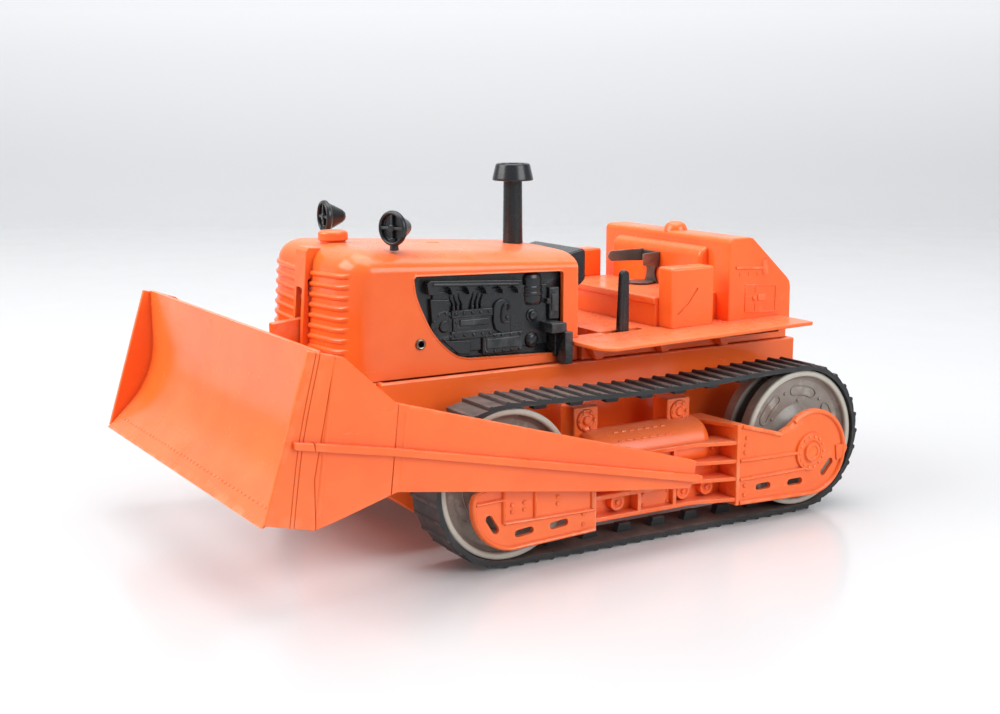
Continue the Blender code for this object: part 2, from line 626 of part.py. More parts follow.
def build_blade():
    """Mouldboard between two end plates, with the ledge that the lift arm bears under."""
    face = mouldboard_points()
    back = [(y + 2.3, z - 0.2) for y, z in face[:-1]] + [(face[-1][0] + 1.6, face[-1][1] - 0.2)]
    board = prism(face + back[::-1], (-BLADE_X + 1, BLADE_X - 1))
    plate = [(-177.0, 104.1), (-166.1, 101.4), (-175.7, 55.0), (-175.7, 34.8), (-196.4, 39.9)]
    parts = []
    for sx in (-1, 1):
        parts.append(prism(plate, sorted((sx * (BLADE_X - 2.3), sx * BLADE_X))))
    parts.append(box((-9.0, 9.0), (-174.0, -156.0), (67.5, 69.7)))
    spine = [(y + 1.2, z) for y, z in face[1:-1]]
    for sx in (-1, 1):
        parts.append(prism([(-173.0, 67.8), (-156.5, 67.8), (-172.0, 84.0)],
                           sorted((sx * 7.0, sx * 9.0))))
        parts.append(prism(spine + [(-169.5, 60.0), (-168.5, 80.0)],
                           sorted((sx * 48.0, sx * 50.5))))
    return union(board, *parts)


def build_push_arm():
    """Tapering side arm, bent out at its front where it laps the blade's end plate."""
    crease = -139.0
    outer = lambda y: ARM_X[1] + 3.2 * min(1.0, max(0.0, (crease - y) / 28.0))
    head = [(-165.4, 101.1), (-162.0, 100.0), (crease, 79.6), (crease, 43.8), (-175.0, 34.8),
            (-175.0, 55.0)]
    tail = [(crease, 79.6), (10.0, 36.9), (9.3, 29.0), (7.0, 24.3), (-42.0, 30.0), (crease, 43.8)]
    rib = [(-172.0, 68.6), (crease, 61.8), (8.8, 30.2), (8.8, 29.0), (crease, 58.8), (-172.0, 65.6)]

    def folded(outlines, inner_by, outer_by):
        bm = bmesh.new()
        for outline in outlines:
            near = [bm.verts.new((outer(y) - inner_by, y, z)) for y, z in outline]
            far = [bm.verts.new((outer(y) + outer_by, y, z)) for y, z in outline]
            bm.faces.new(near)
            bm.faces.new(far)
            for i in range(len(outline)):
                j = (i + 1) % len(outline)
                if outline[i][0] == crease and outline[j][0] == crease:
                    continue
                bm.faces.new((near[i], near[j], far[j], far[i]))
        bmesh.ops.remove_doubles(bm, verts=bm.verts, dist=0.01)
        bmesh.ops.triangulate(bm, faces=bm.faces)
        return body_from(bm)

    arm = folded((head, tail), ARM_X[1] - ARM_X[0], 0.0)
    halves = ([rib[0], rib[1], rib[4], rib[5]], rib[1:5])
    arm = union(arm, folded(halves, 0.8, 2.2))
    bore = rod(2.0 + RUNNING, ARM_X[0] - 2, ARM_X[0] + 2.2, (0, *BLADE_PIVOT))
    return cut(arm, bore)


def build_lift_arm():
    """Goose-neck arm on the lift shaft, out through the nose slot and down behind the blade."""
    neck = [(12.5, 57.5), (12.5, 66.5), (-40.0, 69.0), (-118.0, 94.5), (-137.0, 100.5),
            (-151.5, 99.0), (-151.5, 66.2), (-168.0, 66.2), (-168.0, 61.5), (-145.0, 61.5),
            (-145.0, 86.0), (-124.0, 84.0), (-36.0, 57.5)]
    arm = prism(neck, (-LIFT_ARM_X, LIFT_ARM_X), 0.5)
    return cut(arm, rod(LIFT_SHAFT_R + RUNNING, -10, 10, (0, *LIFT_PIVOT)))


def build_lever():
    """Tapered hand lever with a rounded tip, keyed on the lift shaft by its foot."""
    y, z = LIFT_PIVOT
    outline = [(y - 3.6, z - 3), (y - 2.0, z - 4.6), (y + 2.0, z - 4.6), (y + 3.6, z - 3),
               (y + 2.5, 114.6), (y + 1.4, 116.6), (y - 1.4, 116.6), (y - 2.5, 114.6)]
    lever = prism(outline, (LEVER_X - 2.2, LEVER_X + 0.9), 0.6)
    return cut(lever, rod(LIFT_SHAFT_R + RUNNING, 30, 50, (0, y, z)))


# ------------------------------------------------------------------------------ assembly

clear_scene()
datum = bpy.data.objects.new("machine_datum", None)
datum.location = (0, DATUM_Y * MM, 0)
bpy.context.scene.collection.objects.link(datum)

orange = finish_material("orange_plastic", (1.0, 0.21, 0.06), 0.42)
black = finish_material("black_plastic", (0.03, 0.034, 0.036), 0.45)
rubber = finish_material("black_rubber", (0.022, 0.025, 0.028), 0.75)
grey = finish_material("grey_plastic", (0.42, 0.41, 0.38), 0.45)
steel = finish_material("bright_steel", (0.62, 0.61, 0.58), 0.3, 1.0)
clip_metal = finish_material("clip_sheet", (0.2, 0.17, 0.15), 0.45, 0.6)

place(build_hull(), "hull", orange)
place(build_hood(), "hood", orange)
place(build_rear_body(), "rear_body", orange)
place(build_dash(), "dash_box", black)
place(build_cap(), "radiator_cap", orange)
place(build_stack(), "exhaust_stack", black)
place(build_clip(), "driver_clip", clip_metal)
place(build_blade(), "blade", orange, (0, *BLADE_PIVOT))
place(build_lift_arm(), "lift_arm", orange, (0, *LIFT_PIVOT))
place(build_lever(), "hand_lever", black, (LEVER_X, *LIFT_PIVOT))
shaft = rod(LIFT_SHAFT_R, -HULL_X + 0.4, HULL_X - 0.4, (0, *LIFT_PIVOT))
place(shaft, "lift_shaft", steel, (0, *LIFT_PIVOT))

for side, sign in SIDES.items():
    place(mirrored(build_engine_insert(), side), f"engine_insert_{side}", black)
    place(build_lamp(side), f"headlight_{side}", black, (sign * LAMP[0], *LAMP[1:]))
    place(mirrored(build_eyelet(), side), f"hood_eyelet_{side}", steel)
    place(mirrored(build_side_frame(), side), f"side_frame_{side}", orange)
    place(mirrored(build_track(), side), f"track_{side}", rubber)
    place(mirrored(build_push_arm(), side), f"push_arm_{side}", orange, (0, *BLADE_PIVOT))
    pin = rod(2.0, 79.4, ARM_X[0] + 1.9, (0, *BLADE_PIVOT))
    place(mirrored(pin, side), f"arm_pin_{side}", steel)
    for end, y in (("front", -WHEELBASE / 2), ("rear", WHEELBASE / 2)):
        hub = (0, y, AXLE_Z)
        outer_disc = turned(build_disc(OUTER_DISC_X, 2.6, 0.9), hub, "X", WHEEL_STEPS)
        place(mirrored(outer_disc, side), f"wheel_{end}_{side}_outer", grey, hub)
        inner_disc = turned(build_disc(INNER_DISC_X, 2.6, 2.6), hub, "X", WHEEL_STEPS)
        place(mirrored(inner_disc, side), f"wheel_{end}_{side}_inner", grey, hub)
        cap = turned(build_axle_cap(), hub, "X", 12)
        place(mirrored(cap, side), f"axle_cap_{end}_{side}", steel, hub)

for end, y in (("front", -WHEELBASE / 2), ("rear", WHEELBASE / 2)):
    place(rod(AXLE_R, -86.3, 86.3, (0, y, AXLE_Z)), f"axle_{end}", steel)
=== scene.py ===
"""Looks of the toy crawler tractor with a bulldozer blade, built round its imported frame.

Shapes are drawn in millimetres from the machine's datum: the ground point half way between
the two axles, with the machine's own left side at +X and the blade towards -Y. Each finished
piece is scaled to metres and moved into the frame, where it stands for one CAD node.
"""

import json
import math

import bmesh
import bpy
from mathutils import Matrix, Vector

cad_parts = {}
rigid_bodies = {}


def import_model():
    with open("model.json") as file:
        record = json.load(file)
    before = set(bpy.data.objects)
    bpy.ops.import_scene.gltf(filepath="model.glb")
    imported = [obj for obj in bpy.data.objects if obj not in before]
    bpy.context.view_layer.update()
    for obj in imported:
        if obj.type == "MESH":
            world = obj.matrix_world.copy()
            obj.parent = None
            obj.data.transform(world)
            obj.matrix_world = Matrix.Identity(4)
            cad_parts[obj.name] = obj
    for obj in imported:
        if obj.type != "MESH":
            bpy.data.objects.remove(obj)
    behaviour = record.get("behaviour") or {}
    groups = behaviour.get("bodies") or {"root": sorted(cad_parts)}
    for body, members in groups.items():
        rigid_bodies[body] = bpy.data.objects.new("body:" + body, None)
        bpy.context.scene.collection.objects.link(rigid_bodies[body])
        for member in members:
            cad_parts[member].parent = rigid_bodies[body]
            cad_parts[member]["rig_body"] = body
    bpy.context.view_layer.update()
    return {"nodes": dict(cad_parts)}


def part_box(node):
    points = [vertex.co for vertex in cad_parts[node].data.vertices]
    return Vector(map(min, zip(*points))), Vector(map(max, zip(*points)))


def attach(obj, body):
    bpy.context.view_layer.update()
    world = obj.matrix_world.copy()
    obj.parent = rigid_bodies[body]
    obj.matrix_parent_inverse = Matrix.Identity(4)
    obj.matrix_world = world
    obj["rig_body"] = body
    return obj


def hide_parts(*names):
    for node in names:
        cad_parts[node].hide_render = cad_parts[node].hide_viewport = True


MM = 0.001

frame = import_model()
axle_low, axle_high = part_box("axle_front")
rear_low, rear_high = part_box("axle_rear")
DATUM_Y = (axle_low.y + axle_high.y + rear_low.y + rear_high.y) / 4 / MM
WHEELBASE = ((rear_low.y + rear_high.y) - (axle_low.y + axle_high.y)) / 2 / MM
AXLE_Z = (axle_low.z + axle_high.z) / 2 / MM

# Running gear
AXLE_R = 1.6
WHEEL_R = 32.6
SLACK = 0.25
BELT = 1.9
CLEAT = 1.3
CLEATS = 69
LUGS = 28
LUG_HEIGHT = 4.0
SEAM_SHARE = 0.37
LUG_X = (71.7, 75.9)
TRACK_X = (62.5, 85.0)
BEND = math.pi * WHEEL_R
LOOP = 2 * WHEELBASE + 2 * BEND
TOP_SAG = 2.0
OUTER_DISC_X = (76.8, 83.7)
INNER_DISC_X = (64.0, 70.6)
WEB_DEPTH = 3.9
MARK_R = 22.4
MARK_HALF = 2.2
MARK_SPAN = 15

# Side frames
COVER_X = (86.9, 89.0)
COVER_RIB_X = 90.4
WEB_X = (74.0, 77.0)
FLANGE_X = 83.0
FRAME_Y = (-41.0, 40.0)
FRAME_TOP = 41.0
RIB_Z = (23.0, 31.3)
HUB = (83.3, 30.3)
FRONT_BOSS = (-81.5, 30.0)
COVER_R = 21.0
REAR_BOSS = (84.4, 29.7)
HOUSING_Z = 38.6

# Hull, hood and rear body
HULL_X = 47.5
HULL_BOTTOM = 18.0
HULL_FRONT = -122.0
HULL_REAR = 109.0
HULL_TOP = 77.0
WALL = 2.2
GAP = 0.35
HOOD_X = 43.1
HOOD_REAR = -19.4
HOOD_FOOT = -137.0
HOOD_BOTTOM = HULL_TOP + GAP
HOOD_RAKE = 0.072
HOOD_RADII = (15.0, 12.0, 9.5)
HOOD_CROWN = 127.4
HOOD_FALL = 0.058
HOOD_CROWN_DROP = 1.5
LOUVRES = 8
LOUVRE_Z = 88.4
LOUVRE_PITCH = 4.56
LOUVRE_END = 38.5
LOUVRE_TILT = 0.045
BAND_X = 5.6
BAND_PROUD = 3.4
SLOT_X = 3.0
SLOT_TOP = 114.0
DECK_X = 76.0
DECK_Y = (-27.0, 95.0)
DECK_THICK = 1.8
DECK_SLOPE = 0.02
DECK_Z = 88.5
DECK_LEVEL_Y = 25.0
GUSSET_Y = (-12.6, 25.0, 61.0)
PLATFORM_Z = 102.5
TANK_X = 51.4
ARM_BOX_X = (41.0, 52.2)

# Moving parts and fittings
BLADE_PIVOT = (3.8, 30.6)
BLADE_X = 98.6
ARM_X = (91.6, 95.0)
ARM_CREASE = -139.0
FLARE_RUN = 28.0
FLARE_OUT = 3.2
LIFT_PIVOT = (6.5, 62.0)
LIFT_ARM_X = 2.2
LEVER_X = 42.0
LAMP = (34.9, -109.5, 141.0)
LAMP_SWIVEL = {"left": 20.0, "right": -5.0}
STACK_Y = -27.8
CAP_Y = -121.0
DENT_Y = -71.0
EYELET = (-100.8, 91.5)
EYELET_R = 1.9

# Camera, in metres and degrees
CAMERA_PLACE = (0.58675, -0.350825, 0.19825)
CAMERA_YAW = 58.84
CAMERA_PITCH = 10.35
CAMERA_LENS = 52.362

SIDES = {"left": 1, "right": -1}


def deck_z(y):
    """Height of the deck's upper face, which rises a little to the rear."""
    return DECK_Z + DECK_SLOPE * (y - DECK_LEVEL_Y)


def hood_z(y):
    """Height of the hood's crown line, which falls to the rear."""
    return HOOD_CROWN - HOOD_FALL * (y - STACK_Y)


# ------------------------------------------------------------------------- solid tools

def solid_from(bm):
    """An object from a bmesh in millimetres, with its faces turned outwards."""
    bmesh.ops.recalc_face_normals(bm, faces=bm.faces)
    mesh = bpy.data.meshes.new("tool")
    bm.to_mesh(mesh)
    bm.free()
    obj = bpy.data.objects.new("tool", mesh)
    bpy.context.scene.collection.objects.link(obj)
    return obj


def skin(bm, rings, closed=False):
    """Side faces between neighbouring rings of vertices, capped unless the run is closed."""
    pairs = list(zip(rings, rings[1:]))
    if closed:
        pairs.append((rings[-1], rings[0]))
    else:
        bm.faces.new(rings[0])
        bm.faces.new(rings[-1])
    for here, there in pairs:
        for k in range(len(here)):
            m = (k + 1) % len(here)
            bm.faces.new((here[k], here[m], there[m], there[k]))
    return solid_from(bm)


def bevel_edges(bm, edges, width, segments):
    bmesh.ops.bevel(bm, geom=list(edges), offset=width, segments=segments,
                    affect="EDGES", profile=0.5, clamp_overlap=True)


def box(x, y, z, bevel=0.3, segments=3):
    """A block between the pairs x, y and z, with all its edges rounded by bevel."""
    bm = bmesh.new()
    bmesh.ops.create_cube(bm, size=1.0)
    for vert in bm.verts:
        vert.co = Vector((x[vert.co.x > 0], y[vert.co.y > 0], z[vert.co.z > 0]))
    if bevel:
        bevel_edges(bm, bm.edges, bevel, segments)
    return solid_from(bm)


def slab(axis, outline, span, bevel=0.0, segments=3, corners=True):
    """An outline drawn across an axis made solid along it, with rounded rims and corners.

    The outline holds (y, z) points for X, (x, z) points for Y and (x, y) points for Z.
    """
    at = {"X": lambda a, b, s: (s, a, b), "Y": lambda a, b, s: (a, s, b),
          "Z": lambda a, b, s: (a, b, s)}[axis]
    bm = bmesh.new()
    low, high = sorted(span)
    near = [bm.verts.new(at(a, b, low)) for a, b in outline]
    far = [bm.verts.new(at(a, b, high)) for a, b in outline]
    caps = [bm.faces.new(near), bm.faces.new(far)]
    count = len(outline)
    for i in range(count):
        j = (i + 1) % count
        bm.faces.new((near[i], near[j], far[j], far[i]))
    bmesh.ops.recalc_face_normals(bm, faces=bm.faces)
    if bevel:
        edges = {edge for face in caps for edge in face.edges}
        if corners:
            edges |= {edge for edge in bm.edges if edge.calc_face_angle(0.0) > 0.6}
        bevel_edges(bm, edges, bevel, segments)
    return solid_from(bm)


def turned(profile, centre=(0, 0, 0), axis="X", steps=64):
    """A closed profile of (along, radius) points turned about an axis through centre."""
    bm = bmesh.new()
    rings = []
    for along, radius in profile:
        if radius == 0:
            rings.append([bm.verts.new((along, 0, 0))])
            continue
        angles = (2 * math.pi * k / steps for k in range(steps))
        rings.append([bm.verts.new((along, radius * math.cos(a), radius * math.sin(a)))
                      for a in angles])
    for here, there in zip(rings, rings[1:] + rings[:1]):
        for k in range(steps):
            ring = [here[k % len(here)], here[(k + 1) % len(here)],
                    there[(k + 1) % len(there)], there[k % len(there)]]
            unique = list(dict.fromkeys(ring))
            if len(unique) > 2:
                bm.faces.new(unique)
    turn = {"X": Matrix.Identity(4), "Y": Matrix.Rotation(math.pi / 2, 4, "Z"),
            "Z": Matrix.Rotation(-math.pi / 2, 4, "Y")}[axis]
    bmesh.ops.transform(bm, matrix=Matrix.Translation(centre) @ turn, verts=bm.verts)
    return solid_from(bm)


def rounded(profile, radius=0.5, steps=3):
    """The profile with each corner that isn't on the axis replaced by a small arc."""
    result = []
    count = len(profile)
    for i, (along, out) in enumerate(profile):
        here = Vector((along, out))
        back = Vector(profile[i - 1]) - here
        ahead = Vector(profile[(i + 1) % count]) - here
        reach = min(radius, back.length * 0.45, ahead.length * 0.45)
        if out == 0 or reach < 0.02 or back.angle(ahead) > 2.9:
            result.append((along, out))
            continue
        start, end = here + back.normalized() * reach, here + ahead.normalized() * reach
        for k in range(steps + 1):
            t = k / steps
            point = start * (1 - t) ** 2 + here * 2 * t * (1 - t) + end * t ** 2
            result.append((point.x, point.y))
    return result


def rod(radius, start, end, centre, axis="X", steps=40, edge=0.3):
    """A round bar along an axis from start to end, its two rims eased."""
    profile = [(start, 0), (start, radius), (end, radius), (end, 0)]
    return turned(rounded(profile, edge), centre, axis, steps)


def stud(x, y, z, radius, height, steps=16):
    """A small domed bolt head that stands on a face at x and looks along +X."""
    profile = [(x - 0.5, 0), (x - 0.5, radius), (x + height * 0.45, radius),
               (x + height * 0.85, radius * 0.72), (x + height, radius * 0.35), (x + height, 0)]
    return turned(profile, (0, y, z), "X", steps)


def bead(path, normal, width, height, closed=False, sink=0.4, steps=6):
    """A raised line of half-round section laid along a path on a surface."""
    normal = Vector(normal).normalized()
    points = [Vector(p) for p in path]
    count = len(points)
    section = [(-width / 2, -sink)]
    for k in range(steps + 1):
        angle = math.pi * (1 - k / steps)
        section.append((width / 2 * math.cos(angle), height * math.sin(angle)))
    section.append((width / 2, -sink))
    bm = bmesh.new()
    rings = []
    for i, point in enumerate(points):
        before = points[i - 1] if closed or i else point
        after = points[(i + 1) % count] if closed or i < count - 1 else point
        side = normal.cross(after - before).normalized()
        rings.append([bm.verts.new(point + side * a + normal * b) for a, b in section])
    return skin(bm, rings, closed)


def line_x(points, x, width, height, closed=False):
    """A raised line through (y, z) points on a face at x that looks along +X."""
    return bead([(x, y, z) for y, z in points], (1, 0, 0), width, height, closed)


def joined(objs):
    """One object from several that don't touch one another."""
    bm = bmesh.new()
    for obj in objs:
        bm.from_mesh(obj.data)
        bpy.data.objects.remove(obj, do_unlink=True)
    return solid_from(bm)


def combine(base, tools, operation):
    """Applies Booleans of the tools to base, then removes the tools."""
    for tool in tools:
        modifier = base.modifiers.new(operation.title(), "BOOLEAN")
        modifier.operation = operation
        modifier.solver = "MANIFOLD"
        modifier.object = tool
    graph = bpy.context.evaluated_depsgraph_get()
    mesh = bpy.data.meshes.new_from_object(base.evaluated_get(graph))
    base.modifiers.clear()
    base.data = mesh
    for tool in tools:
        bpy.data.objects.remove(tool, do_unlink=True)
    return base


def fuse(base, *tools):
    return combine(base, tools, "UNION")


def carve(base, *tools):
    return combine(base, tools, "DIFFERENCE")


def arc(centre, radius, start, end, steps):
    """Points of an arc in a plane, in degrees from its first axis towards its second."""
    angles = [math.radians(start + (end - start) * k / steps) for k in range(steps + 1)]
    return [(centre[0] + radius * math.cos(a), centre[1] + radius * math.sin(a)) for a in angles]


def around(hub, radius, bearing):
    """Point (y, z) at a radius and a bearing in degrees from a hub."""
    angle = math.radians(bearing)
    return (hub[0] + radius * math.cos(angle), hub[1] + radius * math.sin(angle))


def curve_through(points, steps=6):
    """A smooth open line through the points."""
    pts = [Vector(p) for p in points]
    pts = [2 * pts[0] - pts[1]] + pts + [2 * pts[-1] - pts[-2]]
    line = []
    for a, b, c, d in zip(pts, pts[1:], pts[2:], pts[3:]):
        for k in range(steps):
            t = k / steps
            p = 0.5 * (2 * b + (c - a) * t + (2 * a - 5 * b + 4 * c - d) * t ** 2
                       + (3 * b - a - 3 * c + d) * t ** 3)
            line.append(tuple(p))
    return line + [tuple(pts[-2])]


def lozenge(y, z, length, height, turn=0.0):
    """A slot outline with round ends, turned in its plane."""
    half = (length - height) / 2
    c, s = math.cos(math.radians(turn)), math.sin(math.radians(turn))
    points = arc((half, 0), height / 2, -90, 90, 10) + arc((-half, 0), height / 2, 90, 270, 10)
    return [(y + c * a - s * b, z + s * a + c * b) for a, b in points]


def spaced(start, end, step):
    count = max(1, round(abs(end - start) / step))
    return [start + (end - start) * k / count for k in range(count + 1)]


def mirrored(obj, side):
    """The piece as built for the left side, or its mirror image for the right side."""
    if SIDES[side] < 0:
        obj.data.transform(Matrix.Scale(-1, 4, (1, 0, 0)))
        obj.data.flip_normals()
    return obj


# ----------------------------------------------------------------------------- finishes

def ramp(tree, source, low, high, start=0.0, end=1.0):
    """Maps source from low..high onto start..end, clamped."""
    node = tree.nodes.new("ShaderNodeMapRange")
    node.inputs["From Min"].default_value = low
    node.inputs["From Max"].default_value = high
    node.inputs["To Min"].default_value = start
    node.inputs["To Max"].default_value = end
    tree.links.new(source, node.inputs["Value"])
    return node.outputs["Result"]


def maths(tree, operation, a, b):
    node = tree.nodes.new("ShaderNodeMath")
    node.operation = operation
    for socket, value in zip(node.inputs, (a, b)):
        if isinstance(value, (int, float)):
            socket.default_value = value
        else:
            tree.links.new(value, socket)
    return node.outputs[0]


def mixed(tree, factor, a, b):
    node = tree.nodes.new("ShaderNodeMix")
    node.data_type = "RGBA"
    tree.links.new(factor, node.inputs["Factor"])
    for name, value in (("A", a), ("B", b)):
        socket = next(s for s in node.inputs if s.name == name and s.type == "RGBA")
        if isinstance(value, tuple):
            socket.default_value = (*value, 1.0)
        else:
            tree.links.new(value, socket)
    return next(s for s in node.outputs if s.type == "RGBA")


def noise_of(tree, vector, scale, detail=4.0, roughness=0.55):
    node = tree.nodes.new("ShaderNodeTexNoise")
    node.inputs["Scale"].default_value = scale
    node.inputs["Detail"].default_value = detail
    node.inputs["Roughness"].default_value = roughness
    tree.links.new(vector, node.inputs["Vector"])
    return node.outputs["Fac"]


def finish(name, colour, shade, gloss, dust, dust_colour=(0.62, 0.47, 0.41), wear=0.25,
           wear_colour=None, grain=0.04, metallic=0.0, corner_shade_and_grime=0.5, corner_shade_and_grime_colour=(0.10, 0.035, 0.02),
           waviness=0.25):
    """A moulded or drawn surface: tone variation, edge wear, settled dust, painted shade in the corners
    that also stands for grime, and scuffs.
    """
    material = bpy.data.materials.new(name)
    material.use_nodes = True
    tree = material.node_tree
    nodes, links = tree.nodes, tree.links
    shader = nodes["Principled BSDF"]
    coords = nodes.new("ShaderNodeTexCoord").outputs["Object"]
    geometry = nodes.new("ShaderNodeNewGeometry")
    tone = ramp(tree, noise_of(tree, coords, 28.0, 3.0), 0.35, 0.65)
    base = mixed(tree, tone, shade, colour)
    # worn edges, broken up so that they come and go
    edge = ramp(tree, geometry.outputs["Pointiness"], 0.53, 0.61)
    patches = ramp(tree, noise_of(tree, coords, 160.0), 0.42, 0.62)
    worn = maths(tree, "MULTIPLY", maths(tree, "MULTIPLY", edge, patches), wear)
    base = mixed(tree, worn, base, wear_colour or tuple(min(1.0, c * 1.3 + 0.08) for c in colour))
    # painted shade in the corners from ambient occlusion, which also stands for grime
    hollow = nodes.new("ShaderNodeAmbientOcclusion")
    hollow.inputs["Distance"].default_value = 0.0035
    hollow.samples = 6
    shade_and_grime_in_corners = ramp(tree, hollow.outputs["AO"], 0.75, 0.25, 0.0, corner_shade_and_grime)
    base = mixed(tree, shade_and_grime_in_corners, base, corner_shade_and_grime_colour)
    # dust on whatever looks up
    split = nodes.new("ShaderNodeSeparateXYZ")
    links.new(geometry.outputs["Normal"], split.inputs[0])
    upward = ramp(tree, split.outputs["Z"], 0.55, 0.98)
    clouds = ramp(tree, noise_of(tree, coords, 70.0, 6.0, 0.65), 0.32, 0.68, 0.35, 1.0)
    settled = maths(tree, "MULTIPLY", maths(tree, "MULTIPLY", upward, clouds), dust)
    base = mixed(tree, settled, base, dust_colour)
    links.new(base, shader.inputs["Base Color"])
    # fine scuffs run mostly along the machine
    stretch = nodes.new("ShaderNodeMapping")
    stretch.inputs["Scale"].default_value = (260.0, 22.0, 260.0)
    stretch.inputs["Rotation"].default_value = (0.25, 0.1, 0.2)
    links.new(coords, stretch.inputs["Vector"])
    scuffs = ramp(tree, noise_of(tree, stretch.outputs["Vector"], 1.0, 5.0, 0.7),
                  0.60, 0.72)
    rough = ramp(tree, noise_of(tree, coords, 45.0, 5.0), 0.3, 0.7,
                 gloss - 0.05, gloss + 0.08)
    rough = maths(tree, "ADD", rough, maths(tree, "MULTIPLY", scuffs, 0.10))
    rough = maths(tree, "ADD", rough, maths(tree, "MULTIPLY", settled, 0.45))
    links.new(rough, shader.inputs["Roughness"])
    shader.inputs["Metallic"].default_value = metallic
    # mould grain over a slow waviness
    fine = noise_of(tree, coords, 900.0, 3.0)
    slow = noise_of(tree, coords, 30.0, 1.0)
    grain_bump = nodes.new("ShaderNodeBump")
    grain_bump.inputs["Strength"].default_value = grain
    grain_bump.inputs["Distance"].default_value = 0.0004
    links.new(fine, grain_bump.inputs["Height"])
    wave_bump = nodes.new("ShaderNodeBump")
    wave_bump.inputs["Strength"].default_value = waviness
    wave_bump.inputs["Distance"].default_value = 0.0012
    links.new(slow, wave_bump.inputs["Height"])
    links.new(grain_bump.outputs["Normal"], wave_bump.inputs["Normal"])
    links.new(wave_bump.outputs["Normal"], shader.inputs["Normal"])
    return material


# In each finish below, the corner colour is painted shade for the corners, partly standing for grime.
ORANGE = finish("orange_plastic_look", (1.0, 0.172, 0.030), (0.95, 0.145, 0.022), 0.20, 0.28,
                dust_colour=(0.82, 0.42, 0.30), wear=0.35, wear_colour=(1.0, 0.42, 0.22),
                corner_shade_and_grime_colour=(0.50, 0.045, 0.008), corner_shade_and_grime=0.55)
BLACK = finish("black_plastic_look", (0.015, 0.019, 0.022), (0.009, 0.012, 0.014), 0.25, 0.14,
               dust_colour=(0.26, 0.23, 0.21), wear=0.45, wear_colour=(0.09, 0.10, 0.105),
               corner_shade_and_grime_colour=(0.008, 0.008, 0.008), corner_shade_and_grime=0.6)
RUBBER = finish("black_rubber_look", (0.022, 0.024, 0.026), (0.013, 0.015, 0.016), 0.5, 0.6,
                dust_colour=(0.24, 0.165, 0.14), wear=0.6, wear_colour=(0.13, 0.10, 0.09), grain=0.18,
                corner_shade_and_grime_colour=(0.012, 0.010, 0.009), corner_shade_and_grime=0.5)
# The grey's brownish second tone is partly dirt and partly a painted reflection of the orange body.
GREY = finish("grey_plastic_look", (0.35, 0.335, 0.30), (0.22, 0.165, 0.135), 0.26, 0.25,
              dust_colour=(0.34, 0.26, 0.21), wear=0.45, wear_colour=(0.58, 0.56, 0.50),
              corner_shade_and_grime_colour=(0.10, 0.07, 0.05), corner_shade_and_grime=0.7)
STEEL = finish("bright_steel_look", (0.30, 0.26, 0.22), (0.20, 0.17, 0.14), 0.30, 0.15,
               dust_colour=(0.35, 0.26, 0.2), wear=0.3, grain=0.06, metallic=1.0,
               corner_shade_and_grime_colour=(0.12, 0.07, 0.04), waviness=0.1)
CLIP = finish("clip_sheet_look", (0.24, 0.21, 0.18), (0.13, 0.12, 0.11), 0.36, 0.3,
              dust_colour=(0.36, 0.27, 0.2), wear=0.6, wear_colour=(0.5, 0.44, 0.36), grain=0.1,
              metallic=0.7, corner_shade_and_grime_colour=(0.04, 0.025, 0.015), waviness=0.35)



def pale_rims(material, low, high, colour):
    """A paler colour on whatever stands furthest from the machine's middle plane."""
    tree = material.node_tree
    nodes, links = tree.nodes, tree.links
    target = nodes["Principled BSDF"].inputs["Base Color"]
    base = target.links[0].from_socket
    split = nodes.new("ShaderNodeSeparateXYZ")
    links.new(nodes.new("ShaderNodeTexCoord").outputs["Object"], split.inputs[0])
    aside = maths(tree, "ABSOLUTE", split.outputs["X"], 0.0)
    links.new(mixed(tree, ramp(tree, aside, low, high), base, colour), target)


pale_rims(GREY, (OUTER_DISC_X[1] - 1.6) / 1000, (OUTER_DISC_X[1] - 0.4) / 1000, (0.52, 0.49, 0.42))

FINISHES = {"orange_plastic": ORANGE, "black_plastic": BLACK, "black_rubber": RUBBER,
            "grey_plastic": GREY, "bright_steel": STEEL, "clip_sheet": CLIP}


def present(obj, node, slot, smooth=38):
    """Puts a finished piece into the frame as the look of one CAD node."""
    obj.name = f"piece_{node}"
    obj.data.name = obj.name
    obj.data.transform(Matrix.Translation((0, DATUM_Y * MM, 0)) @ Matrix.Scale(MM, 4))
    obj.data.materials.clear()
    obj.data.materials.append(FINISHES[slot])
    obj.data.shade_smooth()
    obj.data.set_sharp_from_angle(angle=math.radians(smooth))
    weighted = obj.modifiers.new("Weighted normals", "WEIGHTED_NORMAL")
    weighted.keep_sharp = True
    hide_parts(node)
    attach(obj, frame["nodes"][node]["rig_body"])
    return obj


# ------------------------------------------------------------------------- hull and hood

